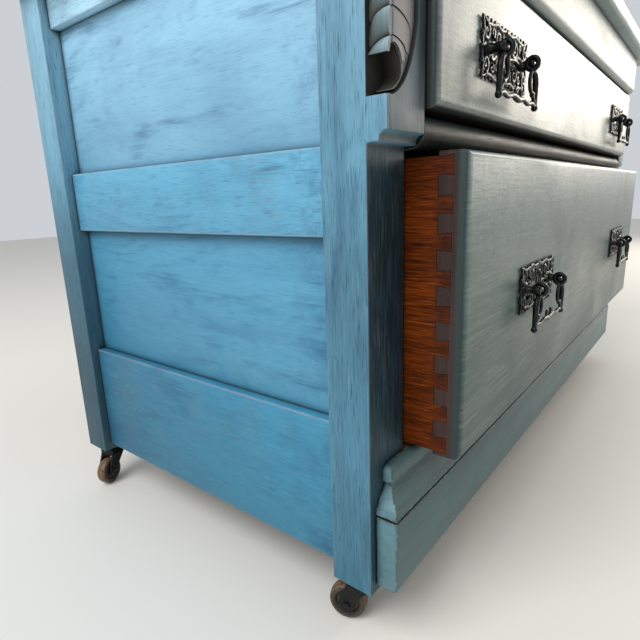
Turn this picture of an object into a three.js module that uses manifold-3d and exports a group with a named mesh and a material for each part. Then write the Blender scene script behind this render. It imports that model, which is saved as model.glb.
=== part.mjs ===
// A low two-drawer dresser on casters: frame-and-panel sides, front posts with carved corner
// blocks, a half-round rail between the drawers, a moulded base, half-blind dovetailed drawers
// and pierced plates with swinging bails.
// Millimetres, +Z up, +X to the right of someone facing the front, front towards -Y.
// The layout has Y = 0 at the front face of the posts; the last lines centre it on the floor.
import * as THREE from "three";
import { mergeVertices } from "three/addons/utils/BufferGeometryUtils.js";
import Module from "manifold-3d";

const wasm = await Module();
wasm.setup();

// ---- Driving dimensions ---------------------------------------------------------------------

const GAP = 0.3; // between pieces that touch
const SLIDE = 2; // between a drawer and the frame round it

const CASE_WIDTH = 915; // over the posts
const CASE_DEPTH = 450; // front face of the front posts to the back of the rear posts
const CASTER_HEIGHT = 51; // floor to the bottom of the posts

const TOP = { thickness: 22, side: 15, front: 45, edge: 5 };
const POST_WIDTH = 49.5;
const FRONT_POST_DEPTH = 38;
const REAR_POST_DEPTH = 40;
const BLOCK = { forward: 15.5, belowDrawer: 17, coveDrop: 6.6, coveForward: 9.3 };
// Carved corner of a block: recess above the block's foot and below the post's top, the bend of
// its lower corner, the hollow under the husks, and the husks' centre, half sizes and spacing.
const CARVING = {
  width: 38, above: 21, below: 14,
  bend: { start: 7, in: 31, up: 7, rise: 47 },
  hollow: { height: 23.4, top: 29.4, width: 21.5, foot: 10 },
  face: 3, husks: 8, pitch: 16, firstUp: 25, huskIn: 4, huskWidth: 28, huskDepth: 14.5,
  huskHeight: 12,
};

const SIDE_RAIL = {
  inset: 9.7, thickness: 22, lift: 8, bottomHeight: 130, middleHeight: 64, topHeight: 38,
};
const PANEL = { inset: 10, thickness: 8, tongue: 6.5 };
const TENON = { length: 20, haunch: 9, clearOfStem: 31, frontY: [8, 18] };

// Front members from the floor up; each drawer opening follows from the members round it.
const FASCIA = { lift: 7, height: 62.6, inset: 7.4, forward: 19, chamfer: 3 };
const MOULDING_GAP = 2.2; // quirk between the fascia and the moulding over it
// Outline of the returned base moulding: setback from the fascia's face, height above the quirk.
const MOULDING = [
  [0.5, 0], [1.5, 6], [4.2, 9.5], [8, 14.5], [12, 19], [13, 21.5], [13, 24.5],
  [9.5, 25.2], [9.5, 28], [10.6, 31.5], [13.5, 35], [16, 37.4],
];
const FRONT_BEARER = { height: 40, depth: 22 };
const MID_RAIL = { height: 24, forward: 15.5, flat: 3, back: 22, shoulder: 6 };
const FRIEZE = { height: 57.2, forward: 28, back: 22, edge: 8 };
const FITS = { underDrawer: 3.5, overLower: 2.3, underUpper: 2, overUpper: 2.5 };

// How far a drawer's face stands proud of the posts when shut, how far it stands open, and where
// its pulls are: in from its end and up from its lower edge.
const LOWER_DRAWER = { height: 229, proud: 8.3, open: 40, pullIn: 175.5, pullUp: 112.3 };
const UPPER_DRAWER = { height: 107, proud: 23.6, open: 0, pullIn: 123.5, pullUp: 50.5 };
const DRAWER = {
  front: 22.5, edge: 6, side: 12, back: 12, bottom: 6, behind: 5.8,
  sideLift: 3, sideDrop: 3, groove: 5, bottomLift: 12,
  tailLength: 10.9, tailHeight: 13.1, tailFlare: 1.2, tailPitch: 25.4,
};
const RUNNER = { ledge: 20, thickness: 22, guide: 15, middleRailDrop: 21.4 };
const BACK = {
  railThickness: 20, railInset: 12, railHeight: 60, panel: 6, panelInset: 20, tongue: 8,
};

const PLATE = { width: 112, height: 44, thickness: 2, scallop: 4 };
// Holes of a plate, in pairs: place from the plate's middle and half sizes.
const PIERCED = [
  { x: 19, z: 9.7, halfWidth: 7, halfHeight: 5.3 },
  { x: 19, z: -9.7, halfWidth: 7, halfHeight: 5.3 },
  { x: 47.1, z: 0, halfWidth: 3.1, halfHeight: 8.8 },
];
const PULL = { spacing: 80, postRadius: 3.6, reach: 13.5, pinRadius: 2 };
const BAIL = { eye: 7, eyeWidth: 4, rod: 2.6, flare: 13, drop: 35, corner: 6, bend: 14, rise: 4 };

const WHEEL = { radius: 17, width: 13, crown: 1.5, recess: 2, recessRadius: 10.5 };
const CASTER = {
  trail: 18, plateRadius: 16, plate: 2.5,
  sleeveRadius: 5.5, sleeveLength: 28, stemRadius: 3.5, stemLength: 24,
  crownRadius: 12, crown: 3, arm: 2.5, armWidth: 15, side: 0.8,
  axleRadius: 2.5, axleHead: 1.5, axleHeadRadius: 4,
};
const RUN = 0.4; // running clearance round pins, stems and axles

// ---- Materials ------------------------------------------------------------------------------

const finish = (color, roughness, metalness = 0) =>
  new THREE.MeshStandardMaterial({ color, roughness, metalness });
const BLUE_PAINT = finish(0x5f9fbd, 0.55);
const GREY_PAINT = finish(0x7d8f8c, 0.5);
const OAK = finish(0x9a4f1c, 0.6);
const CASE_WOOD = finish(0x7a5a3c, 0.75);
const BLACK_METAL = finish(0x1c1c1e, 0.45, 0.8);
const WHEEL_WOOD = finish(0x6b4527, 0.5);

// ---- Solids ---------------------------------------------------------------------------------

function solid(geometry) {
  const bare = geometry.clone();
  bare.deleteAttribute("normal");
  bare.deleteAttribute("uv");
  const merged = mergeVertices(bare, 1e-4);
  return new wasm.Manifold(
    new wasm.Mesh({
      numProp: 3,
      vertProperties: merged.attributes.position.array,
      triVerts: new Uint32Array(merged.index.array),
    }),
  );
}

function geometryOf(manifold) {
  const mesh = manifold.getMesh();
  const geometry = new THREE.BufferGeometry();
  const positions = new Float32Array(mesh.vertProperties);
  geometry.setAttribute("position", new THREE.BufferAttribute(positions, 3));
  geometry.setIndex(new THREE.BufferAttribute(new Uint32Array(mesh.triVerts), 1));
  const flat = geometry.toNonIndexed();
  flat.computeVertexNormals();
  return flat;
}

const joined = (solids) => solids.reduce((whole, piece) => whole.add(piece));
const cut = (whole, cutters) => cutters.reduce((left, cutter) => left.subtract(cutter), whole);

// A block is [x0, x1, y0, y1, z0, z1].
function block([x0, x1, y0, y1, z0, z1]) {
  const geometry = new THREE.BoxGeometry(x1 - x0, y1 - y0, z1 - z0);
  geometry.translate((x0 + x1) / 2, (y0 + y1) / 2, (z0 + z1) / 2);
  return solid(geometry);
}

// The space that a block fits into, a little larger all round.
const seat = ([x0, x1, y0, y1, z0, z1], c = GAP) =>
  block([x0 - c, x1 + c, y0 - c, y1 + c, z0 - c, z1 + c]);

// Straight prisms of an outline. Along X the outline is (y, z), along Y (x, z), along Z (x, y).
const along = (axis, distance) => ["x", "y", "z"].map((name) => (name === axis ? distance : 0));
const PRISM_AXES = {
  x: [new THREE.Vector3(0, 1, 0), new THREE.Vector3(0, 0, 1), new THREE.Vector3(1, 0, 0)],
  y: [new THREE.Vector3(1, 0, 0), new THREE.Vector3(0, 0, 1), new THREE.Vector3(0, -1, 0)],
  z: [new THREE.Vector3(1, 0, 0), new THREE.Vector3(0, 1, 0), new THREE.Vector3(0, 0, 1)],
};

function prism(axis, shape, from, to, curveSegments = 6) {
  const outline = Array.isArray(shape)
    ? new THREE.Shape(shape.map(([a, b]) => new THREE.Vector2(a, b)))
    : shape;
  const geometry = new THREE.ExtrudeGeometry(outline, {
    depth: to - from,
    bevelEnabled: false,
    curveSegments,
  });
  const [u, v, w] = PRISM_AXES[axis];
  geometry.applyMatrix4(new THREE.Matrix4().makeBasis(u, v, w));
  const start = axis === "y" ? to : from;
  geometry.translate(...along(axis, start));
  return solid(geometry);
}

function cylinder(axis, radius, from, to, segments = 16) {
  const geometry = new THREE.CylinderGeometry(radius, radius, to - from, segments);
  if (axis === "x") geometry.rotateZ(-Math.PI / 2);
  if (axis === "z") geometry.rotateX(Math.PI / 2);
  geometry.translate(...along(axis, (from + to) / 2));
  return solid(geometry);
}

// A solid through rectangles: each level is four corners, anticlockwise seen from the last level.
function throughLevels(levels) {
  const positions = levels.flat(2);
  const index = [0, 2, 1, 0, 3, 2];
  for (let level = 0; level + 1 < levels.length; level++) {
    for (let side = 0; side < 4; side++) {
      const a = level * 4 + side;
      const b = level * 4 + ((side + 1) % 4);
      index.push(a, b, b + 4, a, b + 4, a + 4);
    }
  }
  const last = (levels.length - 1) * 4;
  index.push(last, last + 1, last + 2, last, last + 2, last + 3);
  const geometry = new THREE.BufferGeometry();
  geometry.setAttribute("position", new THREE.Float32BufferAttribute(positions, 3));
  geometry.setIndex(index);
  return solid(geometry);
}

const flatLevel = (x0, x1, y0, y1, z) =>
  [[x0, y0, z], [x1, y0, z], [x1, y1, z], [x0, y1, z]];
const uprightLevel = (x0, x1, y, z0, z1) =>
  [[x0, y, z0], [x1, y, z0], [x1, y, z1], [x0, y, z1]];

// Insets of a rounded edge: pairs of inset and depth from the face, from the face inwards.
function roundedEdge(radius, steps = 3) {
  return Array.from({ length: steps + 1 }, (_, i) => {
    const angle = (i / steps) * (Math.PI / 2);
    return [radius * (1 - Math.sin(angle)), radius * (1 - Math.cos(angle))];
  });
}

// ---- Placing --------------------------------------------------------------------------------

const dresser = new THREE.Group();

function place(parent, name, made, material) {
  const mesh = new THREE.Mesh(geometryOf(made), material);
  mesh.name = name;
  parent.add(mesh);
  return mesh;
}

// The same piece on both sides of the dresser, the right one mirrored.
function placePair(parent, name, made, material) {
  place(parent, "left_" + name, made, material);
  place(parent, "right_" + name, made, material).scale.x = -1;
}

// ---- Case: shared places --------------------------------------------------------------------

const LEFT = -CASE_WIDTH / 2;
const POST_INNER = LEFT + POST_WIDTH;
const REAR_FACE = CASE_DEPTH - REAR_POST_DEPTH; // front face of the rear posts
const RAIL_X = [LEFT + SIDE_RAIL.inset, LEFT + SIDE_RAIL.inset + SIDE_RAIL.thickness];
const PANEL_X = [RAIL_X[0] + PANEL.inset, RAIL_X[0] + PANEL.inset + PANEL.thickness];

const from = (bottom, height) => [bottom, bottom + height];
const FASCIA_Z = from(CASTER_HEIGHT + FASCIA.lift, FASCIA.height);
const MOULDING_Z = from(FASCIA_Z[1] + MOULDING_GAP, MOULDING.at(-1)[1]);
const BEARER_Z = from(MOULDING_Z[1] - FRONT_BEARER.height, FRONT_BEARER.height);
const LOWER_Z = from(MOULDING_Z[1] + FITS.underDrawer, LOWER_DRAWER.height);
const MID_RAIL_Z = from(LOWER_Z[1] + FITS.overLower, MID_RAIL.height);
const UPPER_Z = from(MID_RAIL_Z[1] + FITS.underUpper, UPPER_DRAWER.height);
const FRIEZE_Z = from(UPPER_Z[1] + FITS.overUpper, FRIEZE.height);
const BLOCK_BOTTOM = UPPER_Z[0] - BLOCK.belowDrawer;
const CASE_TOP = FRIEZE_Z[1] + GAP; // underside of the top board

// Side rails run between the posts, and their tenons share the panels' thickness.
const SIDE_RAILS = {
  bottom_rail: from(CASTER_HEIGHT + SIDE_RAIL.lift, SIDE_RAIL.bottomHeight),
  middle_rail: from(
    UPPER_Z[0] - RUNNER.middleRailDrop - SIDE_RAIL.middleHeight,
    SIDE_RAIL.middleHeight,
  ),
  top_rail: from(FRIEZE_Z[1] - SIDE_RAIL.topHeight, SIDE_RAIL.topHeight),
};
const tenonHeights = ([z0, z1]) => [
  Math.max(z0 + TENON.haunch, CASTER_HEIGHT + TENON.clearOfStem),
  z1 - TENON.haunch,
];
const sideTenon = (heights) => [
  ...PANEL_X,
  FRONT_POST_DEPTH - TENON.length,
  REAR_FACE + TENON.length,
  ...tenonHeights(heights),
];
const PANELS = {
  lower_side_panel: [SIDE_RAILS.bottom_rail[1] - PANEL.tongue, SIDE_RAILS.middle_rail[0] + PANEL.tongue],
  upper_side_panel: [SIDE_RAILS.middle_rail[1] - PANEL.tongue, SIDE_RAILS.top_rail[0] + PANEL.tongue],
};
const panelBlock = (heights) => [
  ...PANEL_X,
  FRONT_POST_DEPTH - PANEL.tongue,
  REAR_FACE + PANEL.tongue,
  ...heights,
];
const sideCutters = () => [
  ...Object.values(SIDE_RAILS).map((heights) => seat(sideTenon(heights))),
  ...Object.values(PANELS).map((heights) => seat(panelBlock(heights))),
];

// Tenons of the front members, from inside one post to inside the other.
const frontTenon = ([z0, z1], shoulder) => [
  POST_INNER - TENON.length,
  -POST_INNER + TENON.length,
  ...TENON.frontY,
  z0 + shoulder,
  z1 - shoulder,
];
const FRONT_TENONS = {
  bearer: frontTenon(BEARER_Z, TENON.haunch),
  midRail: frontTenon(MID_RAIL_Z, MID_RAIL.shoulder),
  frieze: frontTenon(FRIEZE_Z, TENON.haunch),
};

const BACK_RAIL_Y = [CASE_DEPTH - BACK.railInset - BACK.railThickness, CASE_DEPTH - BACK.railInset];
const BACK_PANEL_Y = [CASE_DEPTH - BACK.panelInset - BACK.panel, CASE_DEPTH - BACK.panelInset];
const BACK_RAIL_Z = from(SIDE_RAILS.bottom_rail[0], BACK.railHeight);
const BACK_TENON = [
  POST_INNER - TENON.length,
  -POST_INNER + TENON.length,
  ...BACK_PANEL_Y,
  ...tenonHeights(BACK_RAIL_Z),
];
// The back panel runs up to the top board.
const BACK_PANEL = [
  POST_INNER - BACK.tongue,
  -POST_INNER + BACK.tongue,
  ...BACK_PANEL_Y,
  BACK_RAIL_Z[1] - BACK.tongue,
  CASE_TOP - GAP,
];

const STEM_X = LEFT + POST_WIDTH / 2;
const FRONT_STEM_Y = FRONT_POST_DEPTH / 2;
const REAR_STEM_Y = CASE_DEPTH - REAR_POST_DEPTH / 2;
const STEM_HOLE_Z = [CASTER_HEIGHT - 1, CASTER_HEIGHT + CASTER.sleeveLength + GAP];
const stemHole = (y) =>
  cylinder("z", CASTER.sleeveRadius + GAP, ...STEM_HOLE_Z).translate([STEM_X, y, 0]);

// ---- Case: pieces ---------------------------------------------------------------------------

// The carving's edge on the front, from its ledge up round the lower corner.
function carvedEdge(outline) {
  const { start, in: bendIn, up, rise } = CARVING.bend;
  const bottom = BLOCK_BOTTOM + CARVING.above;
  const inner = LEFT + CARVING.width;
  outline.lineTo(LEFT + start, bottom);
  outline.quadraticCurveTo(LEFT + bendIn, bottom + up, inner, bottom + rise);
}

// The block's outer front corner is cut away between a ledge and a soffit.
function carvedRecess() {
  const top = CASE_TOP - CARVING.below;
  const outline = new THREE.Shape();
  outline.moveTo(LEFT - 1, BLOCK_BOTTOM + CARVING.above);
  carvedEdge(outline);
  outline.lineTo(LEFT + CARVING.width, top);
  outline.lineTo(LEFT - 1, top);
  return prism("y", outline, -BLOCK.forward - 1, 0);
}

// Overlapping husks down the corner, on a ground that ends round a hollow over the ledge.
function carvedHusks() {
  const bottom = BLOCK_BOTTOM + CARVING.above;
  const top = CASE_TOP - CARVING.below;
  const { height, top: crest, width, foot } = CARVING.hollow;
  const ground = new THREE.Shape();
  ground.moveTo(LEFT + CARVING.huskIn, bottom + height);
  ground.quadraticCurveTo(LEFT + width / 2, bottom + crest + 3, LEFT + width, bottom + height - 3);
  ground.lineTo(LEFT + width, bottom + foot);
  ground.lineTo(LEFT + CARVING.width + 1, bottom + foot);
  ground.lineTo(LEFT + CARVING.width + 1, top + 1);
  ground.lineTo(LEFT + CARVING.huskIn, top + 1);
  const husks = Array.from({ length: CARVING.husks }, (_, i) => {
    const husk = new THREE.SphereGeometry(1, 10, 7);
    husk.scale(CARVING.huskWidth, CARVING.huskDepth, CARVING.huskHeight);
    husk.translate(LEFT + CARVING.huskIn, 0, bottom + CARVING.firstUp + CARVING.pitch * i);
    return solid(husk);
  });
  const reach = [LEFT + 1, LEFT + CARVING.width + 1, -BLOCK.forward + 1, 1];
  const carved = joined(husks).intersect(block([...reach, bottom + height, top + 1]));
  return joined([prism("y", ground, CARVING.face - BLOCK.forward, 1, 6), carved]);
}

// The block's lower front edge is hollowed back to a flat underside.
function frontPost() {
  const coveBottom = BLOCK_BOTTOM - BLOCK.coveDrop;
  const outline = new THREE.Shape();
  outline.moveTo(FRONT_POST_DEPTH, CASTER_HEIGHT);
  outline.lineTo(FRONT_POST_DEPTH, CASE_TOP - GAP);
  outline.lineTo(-BLOCK.forward, CASE_TOP - GAP);
  outline.lineTo(-BLOCK.forward, BLOCK_BOTTOM);
  outline.quadraticCurveTo(-BLOCK.coveForward, BLOCK_BOTTOM, -BLOCK.coveForward, coveBottom);
  outline.lineTo(0, coveBottom);
  outline.lineTo(0, CASTER_HEIGHT);
  const post = prism("x", outline, LEFT, POST_INNER);
  const mortises = Object.values(FRONT_TENONS).map((tenon) => seat(tenon));
  return cut(post, [carvedRecess()])
    .add(carvedHusks())
    .subtract(joined([...sideCutters(), ...mortises, stemHole(FRONT_STEM_Y)]));
}

function rearPost() {
  const post = block([LEFT, POST_INNER, REAR_FACE, CASE_DEPTH, CASTER_HEIGHT, CASE_TOP - GAP]);
  return cut(post, [...sideCutters(), seat(BACK_TENON), seat(BACK_PANEL), stemHole(REAR_STEM_Y)]);
}

function sideRail(heights) {
  const body = block([...RAIL_X, FRONT_POST_DEPTH + GAP, REAR_FACE - GAP, ...heights]);
  const grooves = Object.values(PANELS).map((panel) => seat(panelBlock(panel)));
  return cut(body, grooves).add(block(sideTenon(heights)));
}

function backRail() {
  const body = block([POST_INNER + GAP, -POST_INNER - GAP, ...BACK_RAIL_Y, ...BACK_RAIL_Z]);
  return cut(body, [seat(BACK_PANEL)]).add(block(BACK_TENON));
}

function top() {
  const levels = roundedEdge(TOP.edge);
  const level = ([inset, depth], z, up) =>
    flatLevel(
      LEFT - TOP.side + inset,
      -LEFT + TOP.side - inset,
      -TOP.front + inset,
      CASE_DEPTH - inset,
      z + up * depth,
    );
  return throughLevels([
    ...levels.map((pair) => level(pair, CASE_TOP, 1)),
    ...levels.reverse().map((pair) => level(pair, CASE_TOP + TOP.thickness, -1)),
  ]);
}

function frieze() {
  const outline = new THREE.Shape();
  outline.moveTo(FRIEZE.back, FRIEZE_Z[0]);
  outline.lineTo(FRIEZE.back, FRIEZE_Z[1]);
  outline.lineTo(-FRIEZE.forward, FRIEZE_Z[1]);
  outline.lineTo(-FRIEZE.forward, FRIEZE_Z[0] + FRIEZE.edge);
  outline.quadraticCurveTo(-FRIEZE.forward, FRIEZE_Z[0], -FRIEZE.forward + FRIEZE.edge, FRIEZE_Z[0]);
  const body = prism("x", outline, POST_INNER + GAP, -POST_INNER - GAP);
  return body.add(block(FRONT_TENONS.frieze));
}

function midRail() {
  const [z0, z1] = MID_RAIL_Z;
  const nose = MID_RAIL.forward - MID_RAIL.flat;
  const outline = new THREE.Shape();
  outline.moveTo(MID_RAIL.back, z0);
  outline.lineTo(MID_RAIL.back, z1);
  outline.lineTo(-MID_RAIL.flat, z1);
  const centre = [-MID_RAIL.flat, (z0 + z1) / 2];
  outline.absellipse(...centre, nose, (z1 - z0) / 2, Math.PI / 2, (3 * Math.PI) / 2);
  const body = prism("x", outline, POST_INNER + GAP, -POST_INNER - GAP, 10);
  return body.add(block(FRONT_TENONS.midRail));
}

function frontBearer() {
  const body = block([POST_INNER + GAP, -POST_INNER - GAP, GAP, FRONT_BEARER.depth, ...BEARER_Z]);
  return body.add(block(FRONT_TENONS.bearer));
}

function fascia() {
  const [bottom, upper] = FASCIA_Z;
  return prism(
    "x",
    [
      [-GAP, bottom],
      [-GAP, upper],
      [-FASCIA.forward, upper],
      [-FASCIA.forward, bottom + FASCIA.chamfer],
      [-FASCIA.forward + FASCIA.chamfer, bottom],
    ],
    LEFT + FASCIA.inset,
    -LEFT - FASCIA.inset,
  );
}

// The moulding's outline returns round both ends, so each height is a smaller rectangle against the posts.
function baseMoulding() {
  const x = LEFT + FASCIA.inset;
  const front = -FASCIA.forward;
  const foot = MOULDING_Z[0];
  return throughLevels(
    MOULDING.map(([setback, height]) =>
      flatLevel(x + setback, -x - setback, front + setback, -GAP, foot + height),
    ),
  );
}

// An L-shaped runner fixed inside the side rails: the drawer's side rides on it and against its guide.
function runner(drawerZ) {
  const rideTop = drawerZ[0] + DRAWER.sideLift - GAP;
  const inner = RAIL_X[1] + GAP;
  const guide = POST_INNER + SLIDE - GAP;
  return prism(
    "y",
    [
      [inner, rideTop - RUNNER.thickness - RUNNER.guide],
      [guide + RUNNER.ledge, rideTop - RUNNER.thickness],
      [guide + RUNNER.ledge, rideTop],
      [guide, rideTop],
      [guide, rideTop + RUNNER.guide],
      [inner, rideTop + RUNNER.guide],
    ],
    FRONT_POST_DEPTH + GAP,
    REAR_FACE - GAP,
  );
}

const frame = new THREE.Group();
dresser.add(frame);
placePair(frame, "front_post", frontPost(), BLUE_PAINT);
placePair(frame, "rear_post", rearPost(), BLUE_PAINT);
for (const [name, heights] of Object.entries(SIDE_RAILS)) {
  placePair(frame, name, sideRail(heights), BLUE_PAINT);
}
for (const [name, heights] of Object.entries(PANELS)) {
  placePair(frame, name, block(panelBlock(heights)), BLUE_PAINT);
}
place(frame, "back_rail", backRail(), CASE_WOOD);
place(frame, "back_panel", block(BACK_PANEL), CASE_WOOD);
place(frame, "top_board", top(), GREY_PAINT);
place(frame, "frieze_rail", frieze(), GREY_PAINT);
place(frame, "half_round_rail", midRail(), GREY_PAINT);
place(frame, "front_bearer", frontBearer(), CASE_WOOD);
place(frame, "base_fascia", fascia(), GREY_PAINT);
place(frame, "base_moulding", baseMoulding(), GREY_PAINT);
placePair(frame, "lower_runner", runner(LOWER_Z), CASE_WOOD);
placePair(frame, "upper_runner", runner(UPPER_Z), CASE_WOOD);

// ---- Drawers --------------------------------------------------------------------------------

const DRAWER_X = POST_INNER + SLIDE; // outer face of a drawer's left side

// Tails stand in front of the side's shoulder, evenly spaced from the bottom edge to the top edge.
function tails(shoulder, z0, z1, grow) {
  const count = Math.round((z1 - z0 - DRAWER.tailHeight) / DRAWER.tailPitch) + 1;
  const pitch = (z1 - z0 - DRAWER.tailHeight) / (count - 1);
  const tip = shoulder - DRAWER.tailLength - grow;
  return Array.from({ length: count }, (_, i) => {
    const low = z0 + i * pitch - grow;
    const high = low + DRAWER.tailHeight + 2 * grow;
    const flare = DRAWER.tailFlare;
    return prism(
      "x",
      [
        [shoulder + 1, low + flare],
        [shoulder + 1, high - flare],
        [shoulder, high - flare],
        [tip, high],
        [tip, low],
        [shoulder, low + flare],
      ],
      DRAWER_X - (grow ? 1 : 0),
      DRAWER_X + DRAWER.side + grow,
    );
  });
}

function drawerParts(drawer, [bottom, top]) {
  const face = -drawer.proud;
  const shoulder = face + DRAWER.front;
  const rear = BACK_PANEL_Y[0] - DRAWER.behind;
  const sideZ = [bottom + DRAWER.sideLift, top - DRAWER.sideDrop];
  const inner = DRAWER_X + DRAWER.side;
  const floorZ = [sideZ[0] + DRAWER.bottomLift, sideZ[0] + DRAWER.bottomLift + DRAWER.bottom];
  const floor = [
    inner - DRAWER.groove,
    -inner + DRAWER.groove,
    shoulder - DRAWER.groove,
    rear,
    ...floorZ,
  ];
  const back = [
    inner - DRAWER.groove,
    -inner + DRAWER.groove,
    rear - 2 * DRAWER.back,
    rear - DRAWER.back,
    floorZ[1] + GAP,
    sideZ[1] - DRAWER.sideDrop,
  ];

  const side = joined([
    block([DRAWER_X, inner, shoulder + GAP, rear, ...sideZ]),
    ...tails(shoulder + GAP, ...sideZ, 0),
  ]);

  const levels = roundedEdge(DRAWER.edge).map(([inset, depth]) =>
    uprightLevel(DRAWER_X + inset, -DRAWER_X - inset, face + depth, bottom + inset, top - inset),
  );
  const slab = throughLevels([
    uprightLevel(DRAWER_X, -DRAWER_X, shoulder, bottom, top),
    ...levels.reverse(),
  ]);
  const sockets = joined(tails(shoulder + GAP, ...sideZ, GAP));
  const mirrored = sockets.mirror([1, 0, 0]);

  return {
    front: cut(slab, [sockets, mirrored, seat(floor)]),
    side: cut(side, [seat(floor), seat(back)]),
    back: block(back),
    bottom: block(floor),
  };
}

// A pierced cast plate with scalloped corners and two posts, each with a pin to the side.
function backplate() {
  const { width: w, height: h, scallop: s } = PLATE;
  const outline = new THREE.Shape();
  outline.moveTo(-w / 2 + s, -h / 2);
  outline.lineTo(w / 2 - s, -h / 2);
  outline.absarc(w / 2, -h / 2, s, Math.PI, Math.PI / 2, true);
  outline.lineTo(w / 2, h / 2 - s);
  outline.absarc(w / 2, h / 2, s, -Math.PI / 2, Math.PI, true);
  outline.lineTo(-w / 2 + s, h / 2);
  outline.absarc(-w / 2, h / 2, s, 0, -Math.PI / 2, true);
  outline.lineTo(-w / 2, -h / 2 + s);
  outline.absarc(-w / 2, -h / 2, s, Math.PI / 2, 0, true);
  for (const { x, z, halfWidth, halfHeight } of PIERCED) {
    for (const side of [-1, 1]) {
      const hole = new THREE.Path();
      hole.absellipse(side * x, z, halfWidth, halfHeight, 0, 2 * Math.PI);
      outline.holes.push(hole);
    }
  }
  const plate = prism("y", outline, -PLATE.thickness, 0, 4);
  const postY = [-PULL.reach - PULL.pinRadius, -PLATE.thickness / 2];
  const posts = [-1, 1].flatMap((side) => {
    const post = cylinder("y", PULL.postRadius, ...postY, 10);
    const pinEnd = PULL.postRadius + BAIL.eyeWidth + 2 * GAP;
    const pin = cylinder("x", PULL.pinRadius, 0, pinEnd, 10).translate([0, -PULL.reach, 0]);
    const turned = side > 0 ? pin.mirror([1, 0, 0]) : pin;
    return [post, turned].map((piece) => piece.translate([(side * PULL.spacing) / 2, 0, 0]));
  });
  return joined([plate, ...posts]);
}

// The bail hangs from the pins: an eye each side, legs that splay out and a bar that rises a
// little to the middle.
function bail() {
  const eyeX = PULL.spacing / 2 - PULL.postRadius - GAP - BAIL.eyeWidth / 2;
  const legX = eyeX + BAIL.flare;
  const route = [
    [-eyeX, -BAIL.eye + BAIL.rod],
    [-legX + BAIL.corner / 3, -BAIL.drop + BAIL.bend],
    [-legX, -BAIL.drop + BAIL.corner / 2],
    [-legX + BAIL.corner, -BAIL.drop],
    [-legX / 2, -BAIL.drop + BAIL.rise / 2],
    [0, -BAIL.drop + BAIL.rise],
  ].map(([x, z]) => new THREE.Vector3(x, 0, z));
  const otherHalf = route.slice(0, -1).reverse();
  const mirroredRoute = otherHalf.map((p) => new THREE.Vector3(-p.x, 0, p.z));
  const section = new THREE.Shape().absarc(0, 0, BAIL.rod, 0, 2 * Math.PI);
  const rod = new THREE.ExtrudeGeometry(section, {
    extrudePath: new THREE.CatmullRomCurve3([...route, ...mirroredRoute]),
    steps: 26,
    curveSegments: 4,
    bevelEnabled: false,
  });
  const eye = cylinder("x", BAIL.eye, -BAIL.eyeWidth / 2, BAIL.eyeWidth / 2, 14);
  const eyes = [-1, 1].map((side) => eye.translate([side * eyeX, 0, 0]));
  const holes = cylinder("x", PULL.pinRadius + RUN, -PULL.spacing, PULL.spacing, 14);
  return joined([solid(rod), ...eyes]).subtract(holes);
}

function placePull(parent, name, x, y, z) {
  const pull = new THREE.Group();
  pull.position.set(x, y - GAP, z);
  parent.add(pull);
  place(pull, name + "_plate", backplate(), BLACK_METAL);
  place(pull, name + "_bail", bail(), BLACK_METAL).position.y = -PULL.reach;
}

function placeDrawer(name, drawer, heights) {
  const group = new THREE.Group();
  group.position.y = -drawer.open;
  dresser.add(group);
  const parts = drawerParts(drawer, heights);
  place(group, name + "_front", parts.front, GREY_PAINT);
  place(group, name + "_left_side", parts.side, OAK);
  place(group, name + "_right_side", parts.side, OAK).scale.x = -1;
  place(group, name + "_back", parts.back, OAK);
  place(group, name + "_bottom", parts.bottom, OAK);
  for (const [side, sign] of [["left", 1], ["right", -1]]) {
    const x = sign * (DRAWER_X + drawer.pullIn);
    placePull(group, name + "_" + side, x, -drawer.proud, heights[0] + drawer.pullUp);
  }
}

placeDrawer("lower_drawer", LOWER_DRAWER, LOWER_Z);
placeDrawer("upper_drawer", UPPER_DRAWER, UPPER_Z);

// ---- Casters --------------------------------------------------------------------------------

// Fixed plate with a sleeve up into the post; the stem's hole goes right through.
// Heights count from the post's foot.
function casterSocket() {
  const plate = cylinder("z", CASTER.plateRadius, -CASTER.plate - GAP, -GAP, 20);
  const sleeve = cylinder("z", CASTER.sleeveRadius, -CASTER.plate - GAP, CASTER.sleeveLength, 12);
  const bore = cylinder("z", CASTER.stemRadius + RUN, -CASTER_HEIGHT, CASTER_HEIGHT, 12);
  return plate.add(sleeve).subtract(bore);
}

const AXLE_Z = WHEEL.radius - CASTER_HEIGHT;
const CROWN_Z = -CASTER.plate - 2 * GAP - RUN; // top of the fork's crown
const FORK_HALF = WHEEL.width / 2 + CASTER.side; // inner face of a fork arm
const PIN_HOLE = CASTER.axleRadius + RUN / 2;

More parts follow.
